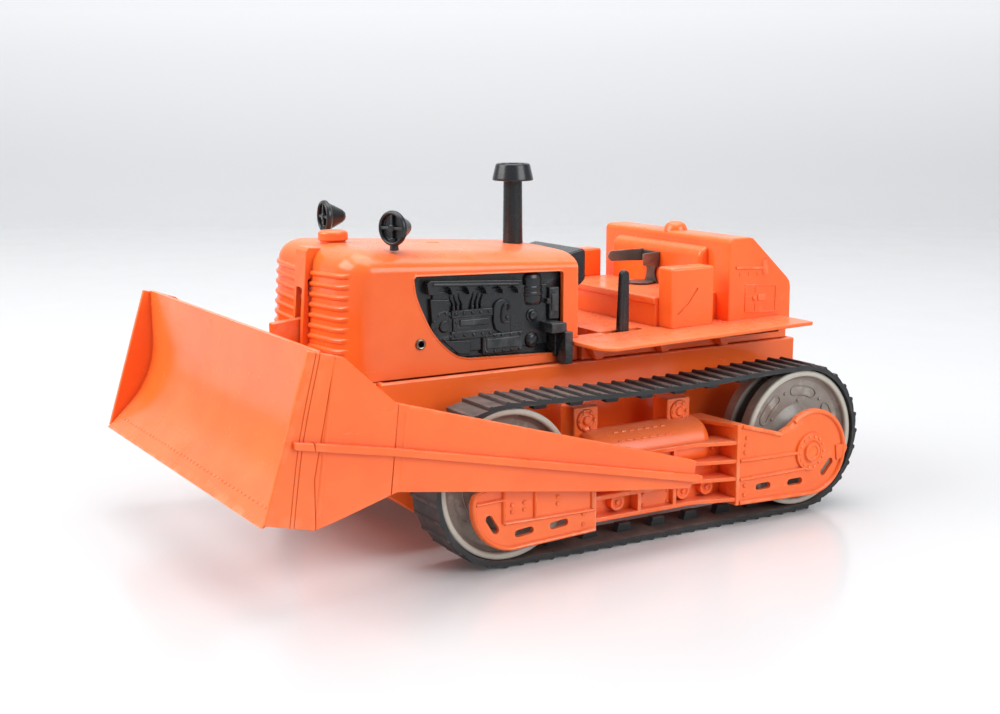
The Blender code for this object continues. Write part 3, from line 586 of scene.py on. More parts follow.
def build_hull():
    """The lower pan: sloped ends, axle bosses and the block under the nose."""
    outline = [(HULL_FRONT, 29.2), (HULL_FRONT + 16, HULL_BOTTOM), (92.0, HULL_BOTTOM),
               (HULL_REAR, 34.0), (HULL_REAR, HULL_TOP), (HULL_FRONT, HULL_TOP)]
    hull = slab("X", outline, (-HULL_X, HULL_X), 0.9)
    inner = [(HULL_FRONT + WALL, 30.8), (HULL_FRONT + 17.5, HULL_BOTTOM + WALL),
             (90.8, HULL_BOTTOM + WALL), (HULL_REAR - WALL, 35.5), (HULL_REAR - WALL, 95.0),
             (HULL_FRONT + WALL, 95.0)]
    inside = HULL_X - WALL
    hull = carve(hull, slab("X", inner, (-inside, inside)))
    extras = [box((-HOOD_X, HOOD_X), (-136.0, HULL_FRONT + 1), (HULL_TOP - 9, HULL_TOP), 1.0)]
    for sx in (-1, 1):
        wall = sx * (HULL_X - 0.5)
        for y in (-WHEELBASE / 2, WHEELBASE / 2):
            profile = rounded([(wall, 0), (wall, 5.4), (sx * (HULL_X + 2.0), 4.8),
                               (sx * (HULL_X + 2.0), 0)], 0.5)
            extras.append(turned(profile, (0, y, AXLE_Z), "X", 48))
        extras.append(turned(rounded([(wall, 0), (wall, 4.2), (sx * (HULL_X + 0.9), 3.8),
                                      (sx * (HULL_X + 0.9), 0)], 0.4), (0, *LIFT_PIVOT), "X", 40))
    hull = fuse(hull, *extras)
    cutters = [box((-SLOT_X, SLOT_X), (-150.0, HULL_FRONT + WALL + 1), (44.0, HULL_TOP + 5), 0.4)]
    for y in (-WHEELBASE / 2, WHEELBASE / 2):
        cutters.append(rod(AXLE_R + 0.35, -60, 60, (0, y, AXLE_Z)))
    cutters.append(rod(1.8, -60, 60, (0, *LIFT_PIVOT)))
    return carve(hull, *cutters)


def grid_box(xs, ys, zs):
    """A closed box whose faces are split at the listed coordinates."""
    bm = bmesh.new()
    verts = {}

    def vert(i, j, k):
        if (i, j, k) not in verts:
            verts[i, j, k] = bm.verts.new((xs[i], ys[j], zs[k]))
        return verts[i, j, k]

    nx, ny, nz = len(xs) - 1, len(ys) - 1, len(zs) - 1
    for j in range(ny):
        for k in range(nz):
            for i in (0, nx):
                bm.faces.new((vert(i, j, k), vert(i, j + 1, k), vert(i, j + 1, k + 1), vert(i, j, k + 1)))
    for i in range(nx):
        for k in range(nz):
            for j in (0, ny):
                bm.faces.new((vert(i, j, k), vert(i + 1, j, k), vert(i + 1, j, k + 1), vert(i, j, k + 1)))
        for j in range(ny):
            for k in (0, nz):
                bm.faces.new((vert(i, j, k), vert(i + 1, j, k), vert(i + 1, j + 1, k), vert(i, j + 1, k)))
    return bm


def hood_form(inset, step):
    """The hood as a crowned solid with broad soft edges, shrunk by inset above its foot."""
    half = HOOD_X - inset
    front, rear = HOOD_FOOT + inset, HOOD_REAR - inset
    low = HOOD_BOTTOM - (8.0 if inset else 0.0)
    top = hood_z(HOOD_FOOT) - inset
    radii = Vector(HOOD_RADII) - Vector((inset, inset, inset))
    bm = grid_box(spaced(-half, half, step), spaced(front, rear, step), spaced(low, top, step))
    for vert in bm.verts:
        x, y, z = vert.co
        core = Vector((max(-half + radii.x, min(half - radii.x, x)), max(front + radii.y, y),
                       min(top - radii.z, z)))
        away = Vector(((x - core.x) / radii.x, (y - core.y) / radii.y, (z - core.z) / radii.z))
        if away.length > 1.0:
            away /= away.length
        place = core + Vector((away.x * radii.x, away.y * radii.y, away.z * radii.z))
        lift = (place.z - low) / (top - low)
        fall = hood_z(HOOD_FOOT) - hood_z(place.y) + HOOD_CROWN_DROP * (place.x / half) ** 2
        place.z -= fall * max(0.0, lift) ** 3
        place.y += HOOD_RAKE * (place.z - HOOD_BOTTOM) * (rear - place.y) / (rear - front)
        vert.co = place
    return solid_from(bm)


def nose_y(x, z):
    """Front face of the hood at a width and a height below its rounded crown."""
    past = max(0.0, (abs(x) - (HOOD_X - HOOD_RADII[0])) / HOOD_RADII[0])
    curve = HOOD_RADII[1] * (1 - math.sqrt(max(0.0, 1 - past ** 2)))
    return HOOD_FOOT + curve + HOOD_RAKE * (z - HOOD_BOTTOM)


def louvre(z, sign):
    """One rounded ridge across half of the nose, dying away into the corner."""
    section = [(-0.7, -1.35), (0.05, -1.3), (0.6, -1.05), (1.0, -0.55), (1.1, 0.0), (1.0, 0.45),
               (0.6, 0.85), (0.05, 1.15), (-0.7, 1.2)]
    bm = bmesh.new()
    rings = []
    for x in spaced(3.8, LOUVRE_END, 1.0):
        fade = min(1.0, max(0.0, (LOUVRE_END - x) / 2.6))
        fade = fade * fade * (3 - 2 * fade)
        mid = z + LOUVRE_TILT * x
        rings.append([bm.verts.new((sign * x, nose_y(x, mid) - out * (fade if out > 0 else 1.0),
                                    mid + up)) for out, up in section])
    return skin(bm, rings)


def window_outline():
    """The engine window: level top, upright rear edge, long sweeping front and lower edge."""
    sweep = curve_through([(-103.6, 119.6), (-102.5, 112.5), (-99.0, 104.0), (-95.0, 96.5),
                           (-89.5, 90.0), (-83.0, 85.0), (-76.0, 83.0)], 5)
    return sweep + [(-28.5, 81.4), (-27.5, 82.4), (-27.5, 117.6), (-28.5, 118.6), (-102.4, 120.8)]


def build_hood():
    """Hood and radiator shell with its nose band, louvres and lipped engine windows."""
    hood = hood_form(0.0, 1.35)
    hood = carve(hood, hood_form(WALL, 2.6))
    top = hood_z(HOOD_FOOT) - 2.2
    crown = HOOD_FOOT + HOOD_RAKE * (top - HOOD_BOTTOM) - BAND_PROUD
    band = slab("X", [(HOOD_FOOT - BAND_PROUD, HOOD_BOTTOM), (crown, top - 1.5), (crown + 1.4, top),
                      (crown + 13.0, top - 0.6), (crown + 13.0, top - 8.0),
                      (HOOD_FOOT + 1.2, top - 14.0), (HOOD_FOOT + 1.2, HOOD_BOTTOM)],
                (-BAND_X, BAND_X), 0.35)
    hood = fuse(hood, band)
    for sign in (-1, 1):
        hood = fuse(hood, joined([louvre(LOUVRE_Z + LOUVRE_PITCH * k, sign) for k in range(LOUVRES)]))
    lips = []
    for sign in (-1, 1):
        outline = window_outline()
        lips.append(bead([(sign * HOOD_X, y, z) for y, z in outline], (sign, 0, 0), 1.5, 0.30,
                         closed=True, sink=0.8))
    hood = fuse(hood, *lips)
    tools = [slab("X", window_outline(), (-60, 60))]
    tools.append(box((-SLOT_X, SLOT_X), (-150, -126), (HOOD_BOTTOM - 5, SLOT_TOP), 0.5))
    tools.append(rod(EYELET_R + GAP, -60, 60, (0, *EYELET)))
    dent = [(-1.3, 0), (-1.2, 1.6), (-0.6, 2.6), (0.1, 3.2), (4.0, 6.0), (4.0, 0)]
    tools.append(turned(dent, (0, DENT_Y, hood_z(DENT_Y)), "Z", 40))
    return carve(hood, *tools)


def build_engine_insert():
    """Black engine casting behind the window: manifold, pump, filter, tank and pipes."""
    low = HOOD_BOTTOM + 0.4
    face = 38.8
    plate = slab("X", [(-106.0, low), (-106.0, 121.0), (-24.0, 118.6), (-24.0, low)], (36.6, face), 0.3)
    block = box((38.0, 39.9), (-93.0, -34.0), (85.5, 113.0), 0.5)
    parts = [block]
    # manifold, its lower edge cut into five arches
    bar = slab("X", [(-96.4, 112.3), (-97.2, 117.2), (-95.6, 118.6), (-49.4, 116.0), (-48.6, 113.6),
                     (-50.2, 110.0)], (38.0, 43.0), 0.5, 3)
    arches = [rod(3.6, 39.6, 46.0, (0, y, z), edge=0) for y, z in
              ((-88.6, 112.2), (-80.0, 111.8), (-71.4, 111.2), (-62.9, 110.7), (-54.9, 110.2))]
    parts.append(carve(bar, joined(arches)))
    parts.append(slab("X", [(-94.6, 115.9), (-94.4, 117.4), (-51.0, 114.9), (-51.0, 113.6)],
                      (38.0, 43.6), 0.55, 3))
    # injector lines
    for y in (-83.2, -81.1, -78.7, -73.8, -71.5, -69.1):
        lean = 1.6 if y < -76 else -1.2
        lead = curve_through([(39.6, y - lean, 112.0), (40.3, y - lean * 0.6, 109.4),
                              (40.7, y, 107.2), (40.8, y, 103.8)], 4)
        parts.append(tube(lead, 0.42, 8))
        parts.append(turned(rounded([(103.6, 0), (103.6, 0.85), (106.2, 0.75), (106.6, 0)], 0.3),
                            (40.8, y, 0), "Z", 14))
    # timing case on the left, with its ring of bolts
    parts.append(slab("X", [(-94.6, 110.2), (-85.0, 109.4), (-85.4, 98.5), (-93.6, 96.6)],
                      (38.0, 40.9), 0.5))
    parts.append(turned(rounded([(38.0, 0), (38.0, 6.9), (41.0, 6.7), (41.0, 5.0), (40.4, 4.8),
                                 (40.4, 2.7), (41.6, 2.5), (41.6, 0)], 0.4), (0, -87.7, 97.9), "X", 48))
    parts.append(joined([stud(41.0, *around((-87.7, 97.9), 5.8, 36 * k + 11.46), 0.62, 0.6)
                         for k in range(10)]))
    # injection pump between two bolted flanges
    parts.append(box((38.0, 41.6), (-84.4, -63.6), (100.9, 104.4), 0.4))
    parts.append(box((38.0, 41.2), (-83.6, -64.4), (94.6, 101.6), 0.5))
    parts.append(box((38.0, 41.9), (-80.3, -65.6), (97.2, 100.2), 0.5))
    parts.append(box((38.0, 41.5), (-84.6, -63.4), (91.4, 95.2), 0.4))
    flange = [stud(41.6, y, 102.9, 0.75, 0.6) for y in (-82.4, -78.2, -74.0, -69.8, -65.6)]
    flange += [stud(41.5, y, 93.2, 0.7, 0.6) for y in (-82.6, -78.0, -73.4, -68.8, -65.0)]
    parts.append(joined(flange))
    # breather pipe bent over the pump, with its hook
    hoop = arc((-58.4, 103.4), 4.6, 0, 180, 14) + [(-63.0, 98.0), (-62.0, 94.2), (-59.4, 92.6),
                                                   (-53.8, 92.2)]
    parts.append(slab("X", hoop, (38.0, 41.2), 0.7, 3, corners=False))
    scroll = curve_through([(-55.6, 97.4), (-58.4, 97.6), (-59.0, 99.4), (-58.6, 103.6),
                            (-57.0, 105.6), (-55.2, 104.6), (-55.8, 102.6)], 5)
    parts.append(bead([(41.2, y, z) for y, z in scroll], (1, 0, 0), 1.1, 0.8))
    parts.append(stud(41.2, -56.0, 99.4, 0.9, 0.8))
    # sump and lower covers
    parts.append(slab("X", [(-88.6, 91.6), (-74.2, 90.6), (-74.2, 84.2), (-80.4, 84.8)],
                      (38.0, 40.5), 0.5))
    parts.append(box((38.0, 41.2), (-68.6, -47.6), (83.6, 92.8), 0.6))
    parts.append(box((38.0, 41.7), (-66.8, -49.6), (85.8, 90.6), 0.5))
    cover = [stud(41.2, y, 91.7, 0.7, 0.6) for y in (-66.8, -62.4, -58.6, -54.0, -49.4)]
    cover += [stud(41.2, y, 84.7, 0.7, 0.6) for y in (-66.8, -62.4, -58.0, -53.6, -49.4)]
    parts.append(joined(cover))
    # fuel filter with a domed lid and two rings, the knob below it and a round drain boss
    jar = rounded([(104.0, 0), (104.0, 4.2), (105.6, 4.9), (108.0, 4.9), (108.3, 5.2), (109.4, 5.2),
                   (109.8, 4.8), (110.6, 4.8), (111.0, 5.1), (112.0, 5.1), (112.4, 4.7),
                   (116.0, 4.7), (117.6, 4.0), (118.3, 2.4), (118.5, 0)], 0.4)
    filter_jar = turned(jar, (0, 0, 0), "Z", 56)
    filter_jar.data.transform(Matrix.Translation((38.6, -41.6, 0)) @ Matrix.Diagonal((0.7, 1.04, 1, 1)))
    parts.append(filter_jar)
    parts.append(turned(rounded([(38.0, 0), (38.0, 3.0), (40.6, 3.0), (40.6, 2.2), (42.0, 1.9),
                                 (42.0, 0)], 0.5), (0, -42.3, 99.2), "X", 36))
    parts.append(turned(rounded([(38.0, 0), (38.0, 3.9), (40.2, 3.7), (41.6, 2.6), (42.0, 0)], 0.8),
                        (0, -42.4, 88.0), "X", 36))
    # square housing with its panel and lug
    parts.append(box((38.0, 41.9), (-34.0, -28.6), (96.6, 111.4), 0.7))
    parts.append(box((38.0, 42.4), (-33.0, -29.6), (100.4, 108.4), 0.4))
    parts.append(box((38.0, 42.5), (-35.6, -33.6), (104.0, 106.4), 0.4))
    # the stepped tank that reaches out over the deck
    engine = carve(fuse(plate, *parts), box((37.3, 39.2), (-40.4, -28.4), (82.2, 96.0), 0.2))
    return fuse(engine, box((38.0, 50.2), (-38.0, -30.0), (91.6, 96.2), 0.45),
                box((36.6, 45.0), (-33.0, -28.2), (80.4, 92.4), 0.4),
                box((HOOD_X + GAP, 51.4), (-31.6, -27.4), (HULL_TOP + GAP, 92.0), 0.5))


def tube(path, radius, steps=14):
    """A round pipe along a path of points."""
    points = [Vector(p) for p in path]
    bm = bmesh.new()
    rings = []
    side = None
    for i, point in enumerate(points):
        before, after = points[max(0, i - 1)], points[min(len(points) - 1, i + 1)]
        ahead = (after - before).normalized()
        if side is None:
            side = ahead.orthogonal().normalized()
        side = (side - ahead * side.dot(ahead)).normalized()
        other = ahead.cross(side)
        rings.append([bm.verts.new(point + (side * math.cos(a) + other * math.sin(a)) * radius)
                      for a in (2 * math.pi * k / steps for k in range(steps))])
    return skin(bm, rings)


# ------------------------------------------------------------------------------ rear body

def deck_outline():
    """Plan of the deck plate, with its outer front corners rounded."""
    front, rear = DECK_Y
    radius = 9.0
    corner = arc((DECK_X - radius, front + radius), radius, -90, 0, 14)
    heel = arc((DECK_X - 1.6, rear - 1.6), 1.6, 0, 90, 5)
    right = [(HOOD_X + GAP, front)] + corner + heel
    left = [(-x, y) for x, y in reversed(right)]
    inner = HOOD_REAR + GAP
    return right + left + [(-HOOD_X - GAP, inner), (HOOD_X + GAP, inner)]


def sloped(obj):
    """Tilts a piece with the deck, which rises to the rear."""
    for vert in obj.data.vertices:
        vert.co.z += DECK_SLOPE * (vert.co.y - DECK_LEVEL_Y)
    return obj


def build_rear_body():
    """Deck with fenders, seat platform, arm boxes and fuel tank in one hollow moulding."""
    z = DECK_Z
    deck = sloped(slab("Z", deck_outline(), (z - DECK_THICK, z), 0.55, corners=False))
    skirt_x = HULL_X - 1.3
    low = HULL_TOP + GAP
    tank = [(62.5, z - 4), (62.5, 127.2), (63.6, 128.8), (65.6, 129.2), (75.0, 129.2),
            (77.2, 128.6), (99.4, 108.6), (101.2, 106.4), (101.8, 103.6), (102.0, z - 4)]
    parts = [box((-skirt_x, skirt_x), (HOOD_REAR + GAP, 104.5), (low, z - 0.9), 0.7),
             slab("X", tank, (-TANK_X, TANK_X), 1.7, 4),
             box((-42, 42), (25.5, 66.0), (z - 4, PLATFORM_Z), 0.9),
             box((-42, 42), (24.5, 30.0), (PLATFORM_Z - 3.6, PLATFORM_Z), 1.0),
             slab("X", [(57.5, PLATFORM_Z - 4), (57.5, 118.6), (58.4, 121.4), (60.6, 123.6),
                        (63.0, 124.0), (66.0, 124.0), (66.0, PLATFORM_Z - 4)], (-38.5, 35.0), 1.8, 4)]
    for sx in (-1, 1):
        parts.append(box(sorted((sx * ARM_BOX_X[0], sx * ARM_BOX_X[1])), (27.5, 52.8),
                         (deck_z(39) - 0.9, 117.0), 1.4, 4))
        for y in GUSSET_Y:
            gusset = slab("X", [(y - 6.5, deck_z(y) - 1.1), (y + 6.5, deck_z(y) - 0.9),
                                (y + 1.8, low + 0.5), (y - 1.8, low + 0.5)],
                          (sx * (skirt_x - 1), sx * (skirt_x + 5)), 0.5)
            parts.append(gusset)
    dome = [(0, 0), (0, 6.2)] + [(4.9 * math.sin(a), 6.0 * math.cos(a) ** 0.7)
                                 for a in (math.pi / 2 * k / 9 for k in range(1, 9))] + [(4.9, 0)]
    parts.append(turned(dome, (0, 69.5, 128.6), "Z", 56))
    rear = fuse(deck, *parts)
    rear = fuse(rear, *[relief for side in SIDES for relief in tank_relief(side)])
    inner_x = skirt_x - WALL
    hollow = box((-inner_x, inner_x), (HOOD_REAR + 1, 104.5 - WALL), (low - 5, z - 4.6), 0.8)
    tank_in = slab("X", [(64.8, z - 8), (64.8, 126.6), (76.0, 126.6), (98.0, 106.5), (99.7, z - 8)],
                   (-TANK_X + WALL, TANK_X - WALL), 0.8)
    seat_in = box((-39.5, 39.5), (28.0, 70.0), (z - 8, PLATFORM_Z - WALL), 0.8)
    cutters = [hollow, tank_in, seat_in,
               box((LEVER_X - 3.3, LEVER_X + 2.0), (-4.5, 17.5), (low - 2, z + 8), 0.6),
               box((-39.5, 39.5), (HOOD_REAR - 2, -4.0), (low - 2, z + 6), 0.6)]
    for sx in SIDES.values():
        slit = slab("X", [(30.6, 95.2), (31.4, 94.9), (37.6, 99.8), (43.0, 106.6), (42.4, 107.2),
                          (35.6, 101.8)], (sx * (ARM_BOX_X[1] - 0.5), sx * (ARM_BOX_X[1] + 2)))
        cutters.append(slit)
    return carve(rear, *cutters)


def tank_relief(side):
    """Raised tool handle, filler stub and latched panel on one end of the tank."""
    face = TANK_X
    lines = [line_x([(66.4, 114.9), (83.4, 114.0)], face, 1.6, 0.8),
             line_x([(85.0, 110.8), (84.4, 118.2)], face, 4.0, 0.9),
             line_x([(69.0, 112.6), (69.0, 110.4)], face, 0.9, 0.4),
             line_x([(74.4, 112.4), (74.4, 110.8)], face, 0.9, 0.4),
             line_x([(80.0, 112.0), (80.0, 110.2)], face, 0.9, 0.4),
             line_x([(72.6, 106.2), (91.8, 104.9), (91.8, 92.0), (72.6, 93.2)], face, 0.8, 0.45, True),
             line_x([(79.0, 105.4), (79.0, 101.8)], face, 0.7, 0.35),
             line_x([(79.0, 97.0), (79.0, 93.2)], face, 0.7, 0.35),
             stud(face, 78.4, 99.4, 1.3, 0.8, 24),
             box((face - 0.6, face + 0.5), (80.6, 85.6), (97.8, 101.2), 0.35)]
    return [mirrored(line, side) for line in lines]


# --------------------------------------------------------------------------- hood fittings

def build_dash():
    """Instrument box behind the hood, its top sloping up towards the driver."""
    y0 = HOOD_REAR + GAP
    outline = [(y0, 108.0), (y0, 121.6), (-1.5, 125.4), (0.0, 124.0), (0.0, 110.5), (-3.0, 108.0)]
    dash = slab("X", outline, (-21.0, 21.0), 1.1, 4)
    return fuse(dash, box((-12.0, 12.0), (y0, -8.0), (HULL_TOP + 2, 109.0), 0.6))


def build_cap():
    """Radiator filler cap: a narrow neck under a plain rounded lid."""
    base = hood_z(CAP_Y) + GAP - 0.9
    profile = rounded([(0, 0), (0, 5.6), (1.4, 5.6), (1.6, 6.7), (4.8, 6.6), (5.7, 5.7), (6.0, 0)],
                      0.7, 4)
    return turned(profile, (0, CAP_Y, base), "Z", 80)


def build_stack():
    """Exhaust stack: a plain pipe under a flared rain cap that is open at its top."""
    base = hood_z(STACK_Y) + GAP - 0.3
    profile = rounded([(0, 0), (0, 4.8), (1.0, 4.75), (1.8, 4.7), (29.4, 4.4), (29.6, 9.5),
                       (30.1, 9.65), (31.0, 9.5), (37.0, 8.1), (37.6, 7.4), (37.5, 5.9),
                       (33.0, 5.2), (33.0, 0)], 0.5, 4)
    return turned(profile, (0, STACK_Y, base), "Z", 80)


def build_lamp(side):
    """Round headlight shell: ring, sunk face with crossed bars, cone back and stem."""
    profile = rounded([(-0.9, 0), (-0.9, 5.7), (0.6, 6.0), (1.0, 6.4), (0.9, 7.1), (0.1, 7.6),
                       (-1.2, 7.6), (-1.9, 6.7), (-2.6, 6.2), (-8.8, 3.1), (-10.2, 1.9),
                       (-10.4, 0)], 0.35, 3)
    shell = turned([(-a, r) for a, r in reversed(profile)], (0, 0, 0), "Y", 64)
    bars = [box((-6.0, 6.0), (-0.5, 1.6), (-0.65, 0.65), 0.3),
            box((-0.65, 0.65), (-0.5, 1.6), (-6.0, 6.0), 0.3),
            turned(rounded([(-1.0, 0), (-1.0, 1.7), (1.5, 1.7), (1.5, 0)], 0.5), (0, -0.0, 0), "Y", 28)]
    foot = hood_z(LAMP[1]) + 0.15 - LAMP[2] - HOOD_CROWN_DROP * (LAMP[0] / HOOD_X) ** 2 + 0.15
    stem = turned(rounded([(foot, 0), (foot, 2.0), (foot + 1.2, 1.9),
                           (-4.0, 1.8), (-4.0, 0)], 0.5), (0, 1.2, 0), "Z", 32)
    lamp = fuse(shell, stem, *bars)
    lamp.data.transform(Matrix.Rotation(math.radians(LAMP_SWIVEL[side]), 4, "Z"))
    lamp.data.transform(Matrix.Translation((SIDES[side] * LAMP[0], *LAMP[1:])))
    return lamp


def build_eyelet():
    """Tubular rivet through the hood side, its lip rolled over."""
    face = HOOD_X + GAP
    profile = [(39.5, 1.25), (39.5, EYELET_R), (face, EYELET_R), (face, 2.25), (face + 0.3, 2.35),
               (face + 0.6, 2.15), (face + 0.75, 1.8), (face + 0.6, 1.4), (face + 0.1, 1.25)]
    return turned(profile, (0, *EYELET), "X", 40)


def build_clip():
    """Bent sheet-metal clip that holds a driver: round foot, waisted plate and two arms."""
    low = PLATFORM_Z + GAP
    foot = turned(rounded([(low, 0), (low, 6.8), (low + 0.9, 6.8), (low + 0.9, 0)], 0.25),
                  (-3.2, 50.3, 0), "Z", 56)
    left_edge = curve_through([(-8.0, low), (-6.6, low + 3.5), (-6.2, low + 7.0), (-8.6, low + 10.0),
                               (-10.4, low + 12.0), (-10.4, 118.8)], 5)
    right_edge = curve_through([(3.4, 118.8), (3.4, low + 12.0), (2.4, low + 9.5), (0.4, low + 6.0),
                                (0.8, low + 3.0), (2.2, low)], 5)
    plate = slab("Y", left_edge + right_edge, (56.2, 57.1), 0.2, 2, corners=False)
    far_arm = slab("X", [(37.0, 114.0)] + arc((37.6, 116.7), 2.7, 250, 110, 10) + [(56.9, 119.4),
                   (56.9, 113.2)], (-10.4, -9.5), 0.2, 2, corners=False)
    near_arm = slab("X", [(47.2, 112.4), (46.8, 118.2), (56.9, 118.8), (56.9, 111.0)], (2.5, 3.4), 0.2, 2)
    return fuse(foot, plate, far_arm, near_arm)


# ---------------------------------------------------------------------------- running gear

def loop_point(distance, offset):
    """Point on the belt's inner line at a distance along it, moved outwards by offset."""
    half = WHEELBASE / 2
    reach = WHEEL_R + offset
    s = distance % LOOP
    if s < WHEELBASE:
        return (-half + s, AXLE_Z - reach)
    s -= WHEELBASE
    if s < BEND:
        angle = -math.pi / 2 + s / WHEEL_R
        return (half + reach * math.cos(angle), AXLE_Z + reach * math.sin(angle))
    s -= BEND
    if s < WHEELBASE:
        dip = TOP_SAG * math.sin(math.pi * s / WHEELBASE) ** 2
        return (half - s, AXLE_Z + reach - dip)
    angle = math.pi / 2 + (s - WHEELBASE) / WHEEL_R
    return (-half + reach * math.cos(angle), AXLE_Z + reach * math.sin(angle))


def across_loop(section, x, bevel):
    """A bar across the belt whose section is drawn as (distance, height) points."""
    return slab("X", [loop_point(s, up) for s, up in section], x, bevel, 2)


def build_track():
    """Rubber track: a belt with saw-tooth shoes outside, drive lugs inside, and its seam."""
    steps = 240
    pitch = LOOP / CLEATS
    shoe = [(0.04, 0.0), (0.10, 0.25), (0.40, 0.55), (0.66, 0.72), (0.70, CLEAT - 0.25),
            (0.74, CLEAT), (0.86, CLEAT), (0.90, CLEAT - 0.3), (0.96, 0.0)]
    outer = [loop_point((k + share) * pitch, SLACK + BELT - 0.15 + up)
             for k in range(CLEATS) for share, up in shoe]
    inner = [loop_point(k * LOOP / steps, SLACK) for k in range(steps)]
    belt = carve(slab("X", outer, TRACK_X),
                 slab("X", inner, (TRACK_X[0] - 5, TRACK_X[1] + 5)))
    lugs = []
    for k in range(LUGS):
        middle = (k + 0.5) * LOOP / LUGS
        section = [(middle - 4.6, SLACK + 0.6), (middle + 4.6, SLACK + 0.6),
                   (middle + 3.2, -LUG_HEIGHT + 0.4), (middle - 3.2, -LUG_HEIGHT + 0.4)]
        lugs.append(across_loop(section, LUG_X, 0.5))
    return fuse(belt, joined(lugs), track_joint(WHEELBASE * SEAM_SHARE))


def track_joint(distance):
    """A bar proud of the belt at the seam where its two ends are joined."""
    seam = [(distance - 0.5, SLACK + 0.6), (distance - 0.5, SLACK + BELT + 0.9),
            (distance + 0.5, SLACK + BELT + 0.9), (distance + 0.5, SLACK + 0.6)]
    return across_loop(seam, (TRACK_X[0] + 1.0, TRACK_X[1] - 1.0), 0.2)


def disc_profile(x, boss_in, boss_out):
    """Half section of a wheel disc: deep rim with a rolled lip, dished web and cone hub."""
    x0, x1 = x
    bore = AXLE_R + 0.3
    profile = [(x0 - boss_in, bore), (x0 - boss_in, 6.5), (x0 + 2.0, 7.5), (x0 + 2.0, 28.0),
               (x0, 29.0), (x0, WHEEL_R - 0.5), (x0 + 0.5, WHEEL_R), (x1 - 0.7, WHEEL_R),
               (x1, WHEEL_R - 0.7), (x1, 30.4), (x1 - 0.5, 29.7), (x1 - 2.4, 29.2),
               (x1 - 3.6, 27.6), (x1 - WEB_DEPTH, 22.0), (x1 - WEB_DEPTH, 15.6), (x1 - 3.2, 14.6),
               (x1 - 0.6, 10.4), (x1 - 0.4, 9.0), (x1 + boss_out, 8.6), (x1 + boss_out, bore)]
    return rounded(profile, 0.45, 3)


def build_outer_wheel(hub):
    """Visible wheel disc with embossed kidney outlines and a ring of small dots."""
    disc = turned(disc_profile(OUTER_DISC_X, 2.6, 0.9), hub, "X", 120)
    centre = hub[1:]
    face = OUTER_DISC_X[1] - WEB_DEPTH
    marks, dots = [], []
    for k in range(6):
        middle = 60 * k + 18
        low, high = middle - MARK_SPAN, middle + MARK_SPAN
        outline = arc(centre, MARK_R + MARK_HALF, low, high, 10)
        outline += arc(around(centre, MARK_R, high), MARK_HALF, high + 60, high + 150, 4)
        outline += arc(centre, MARK_R - MARK_HALF, high, low, 10)
        outline += arc(around(centre, MARK_R, low), MARK_HALF, low + 210, low + 300, 4)
        marks.append(line_x(outline, face - 0.1, 0.8, 0.7, True))
        for radius, turn in ((MARK_R, 30), (17.6, 8)):
            dots.append(stud(face, *around(centre, radius, middle + turn), 0.75, 0.7))
    return fuse(disc, joined(marks), joined(dots))


def build_axle_cap(hub):
    """Push-on steel cap that keeps a wheel on its axle."""
    profile = rounded([(85.0, 1.9), (85.0, 4.2), (85.6, 4.2), (86.5, 3.0), (86.5, 1.9)], 0.35)
    return turned(profile, hub, "X", 40)


def front_cover():
    """Outline of the front wheel cover, from its rear lower corner round the nose."""
    y0 = FRAME_Y[0]
    outline = [(y0, 10.6), (FRONT_BOSS[0], 9.0)] + arc(FRONT_BOSS, COVER_R, 266, 172, 26)
    return outline + [(-101.2, 35.0), (-96.4, 37.6), (-88.0, FRAME_TOP), (y0, FRAME_TOP)]


def rear_cover():
    """Outline of the rear wheel cover, from its front lower corner round the hub."""
    y1 = FRAME_Y[1]
    outline = [(y1 - 1.6, 10.3), (y1 - 1.6, 48.6), (y1 + 3, 48.0), (64.0, 42.0), (70.0, 44.4),
               (74.5, 48.3)]
    return outline + arc(REAR_BOSS, COVER_R, 118, -90, 48)


def build_side_frame():
    """Track frame: two wheel covers, bolted web between them, spring housing and pads."""
    y0, y1 = FRAME_Y
    frame_body = slab("X", front_cover(), COVER_X, 0.5, 3, corners=False)
    parts = [slab("X", rear_cover(), COVER_X, 0.5, 3, corners=False)]
    parts.append(box(WEB_X, (y0, y1), (12.5, FRAME_TOP), 0.4))
    for z in (13.2, RIB_Z[0], RIB_Z[1], FRAME_TOP - 1.0):
        parts.append(box((WEB_X[0] + 1, FLANGE_X), (y0, y1), (z - 1.0, z + 1.0), 0.35))
        parts.append(slab("Z", [(76.0, 16.0), (FLANGE_X - 0.5, 16.0), (COVER_X[1] + 0.3, 38.5),
                                (76.0, 38.5)], (z - 0.9, z + 0.9), 0.35))
    parts.append(box((70.0, COVER_X[1]), (y0 - 1.0, y0 + 1.2), (10.7, FRAME_TOP), 0.4))
    parts.append(box((66.0, COVER_X[1] + 0.6), (y1 - 2.2, y1), (10.4, 48.6), 0.4))
    parts.append(slab("Z", [(60.0, 26.5), (60.0, 40.0), (COVER_X[1] + 0.6, 42.0),
                            (COVER_X[1] + 0.6, 38.2)], (46.8, 48.6), 0.4))
    parts.append(box((60.0, 72.0), (38.0, 40.0), (40.0, 48.0), 0.4))
    parts += cover_relief()
    parts += web_relief()
    parts += spring_housing()
    frame_body = fuse(frame_body, *parts)
    slots = [lozenge(-92.3, 21.7, 9.4, 3.4, -58), lozenge(-76.7, 16.2, 9.4, 3.2, 5),
             lozenge(-59.2, 16.9, 9.4, 3.2, 5), lozenge(54.6, 17.4, 9.0, 3.2, 0),
             lozenge(74.2, 16.8, 9.4, 3.2, 0), lozenge(94.2, 21.4, 9.8, 3.4, 48)]
    cutters = [slab("X", outline, (80.0, 95.0)) for outline in slots]
    cutters.append(rod(2.3, 79.0, 95.0, (0, *BLADE_PIVOT)))
    return carve(frame_body, *cutters)


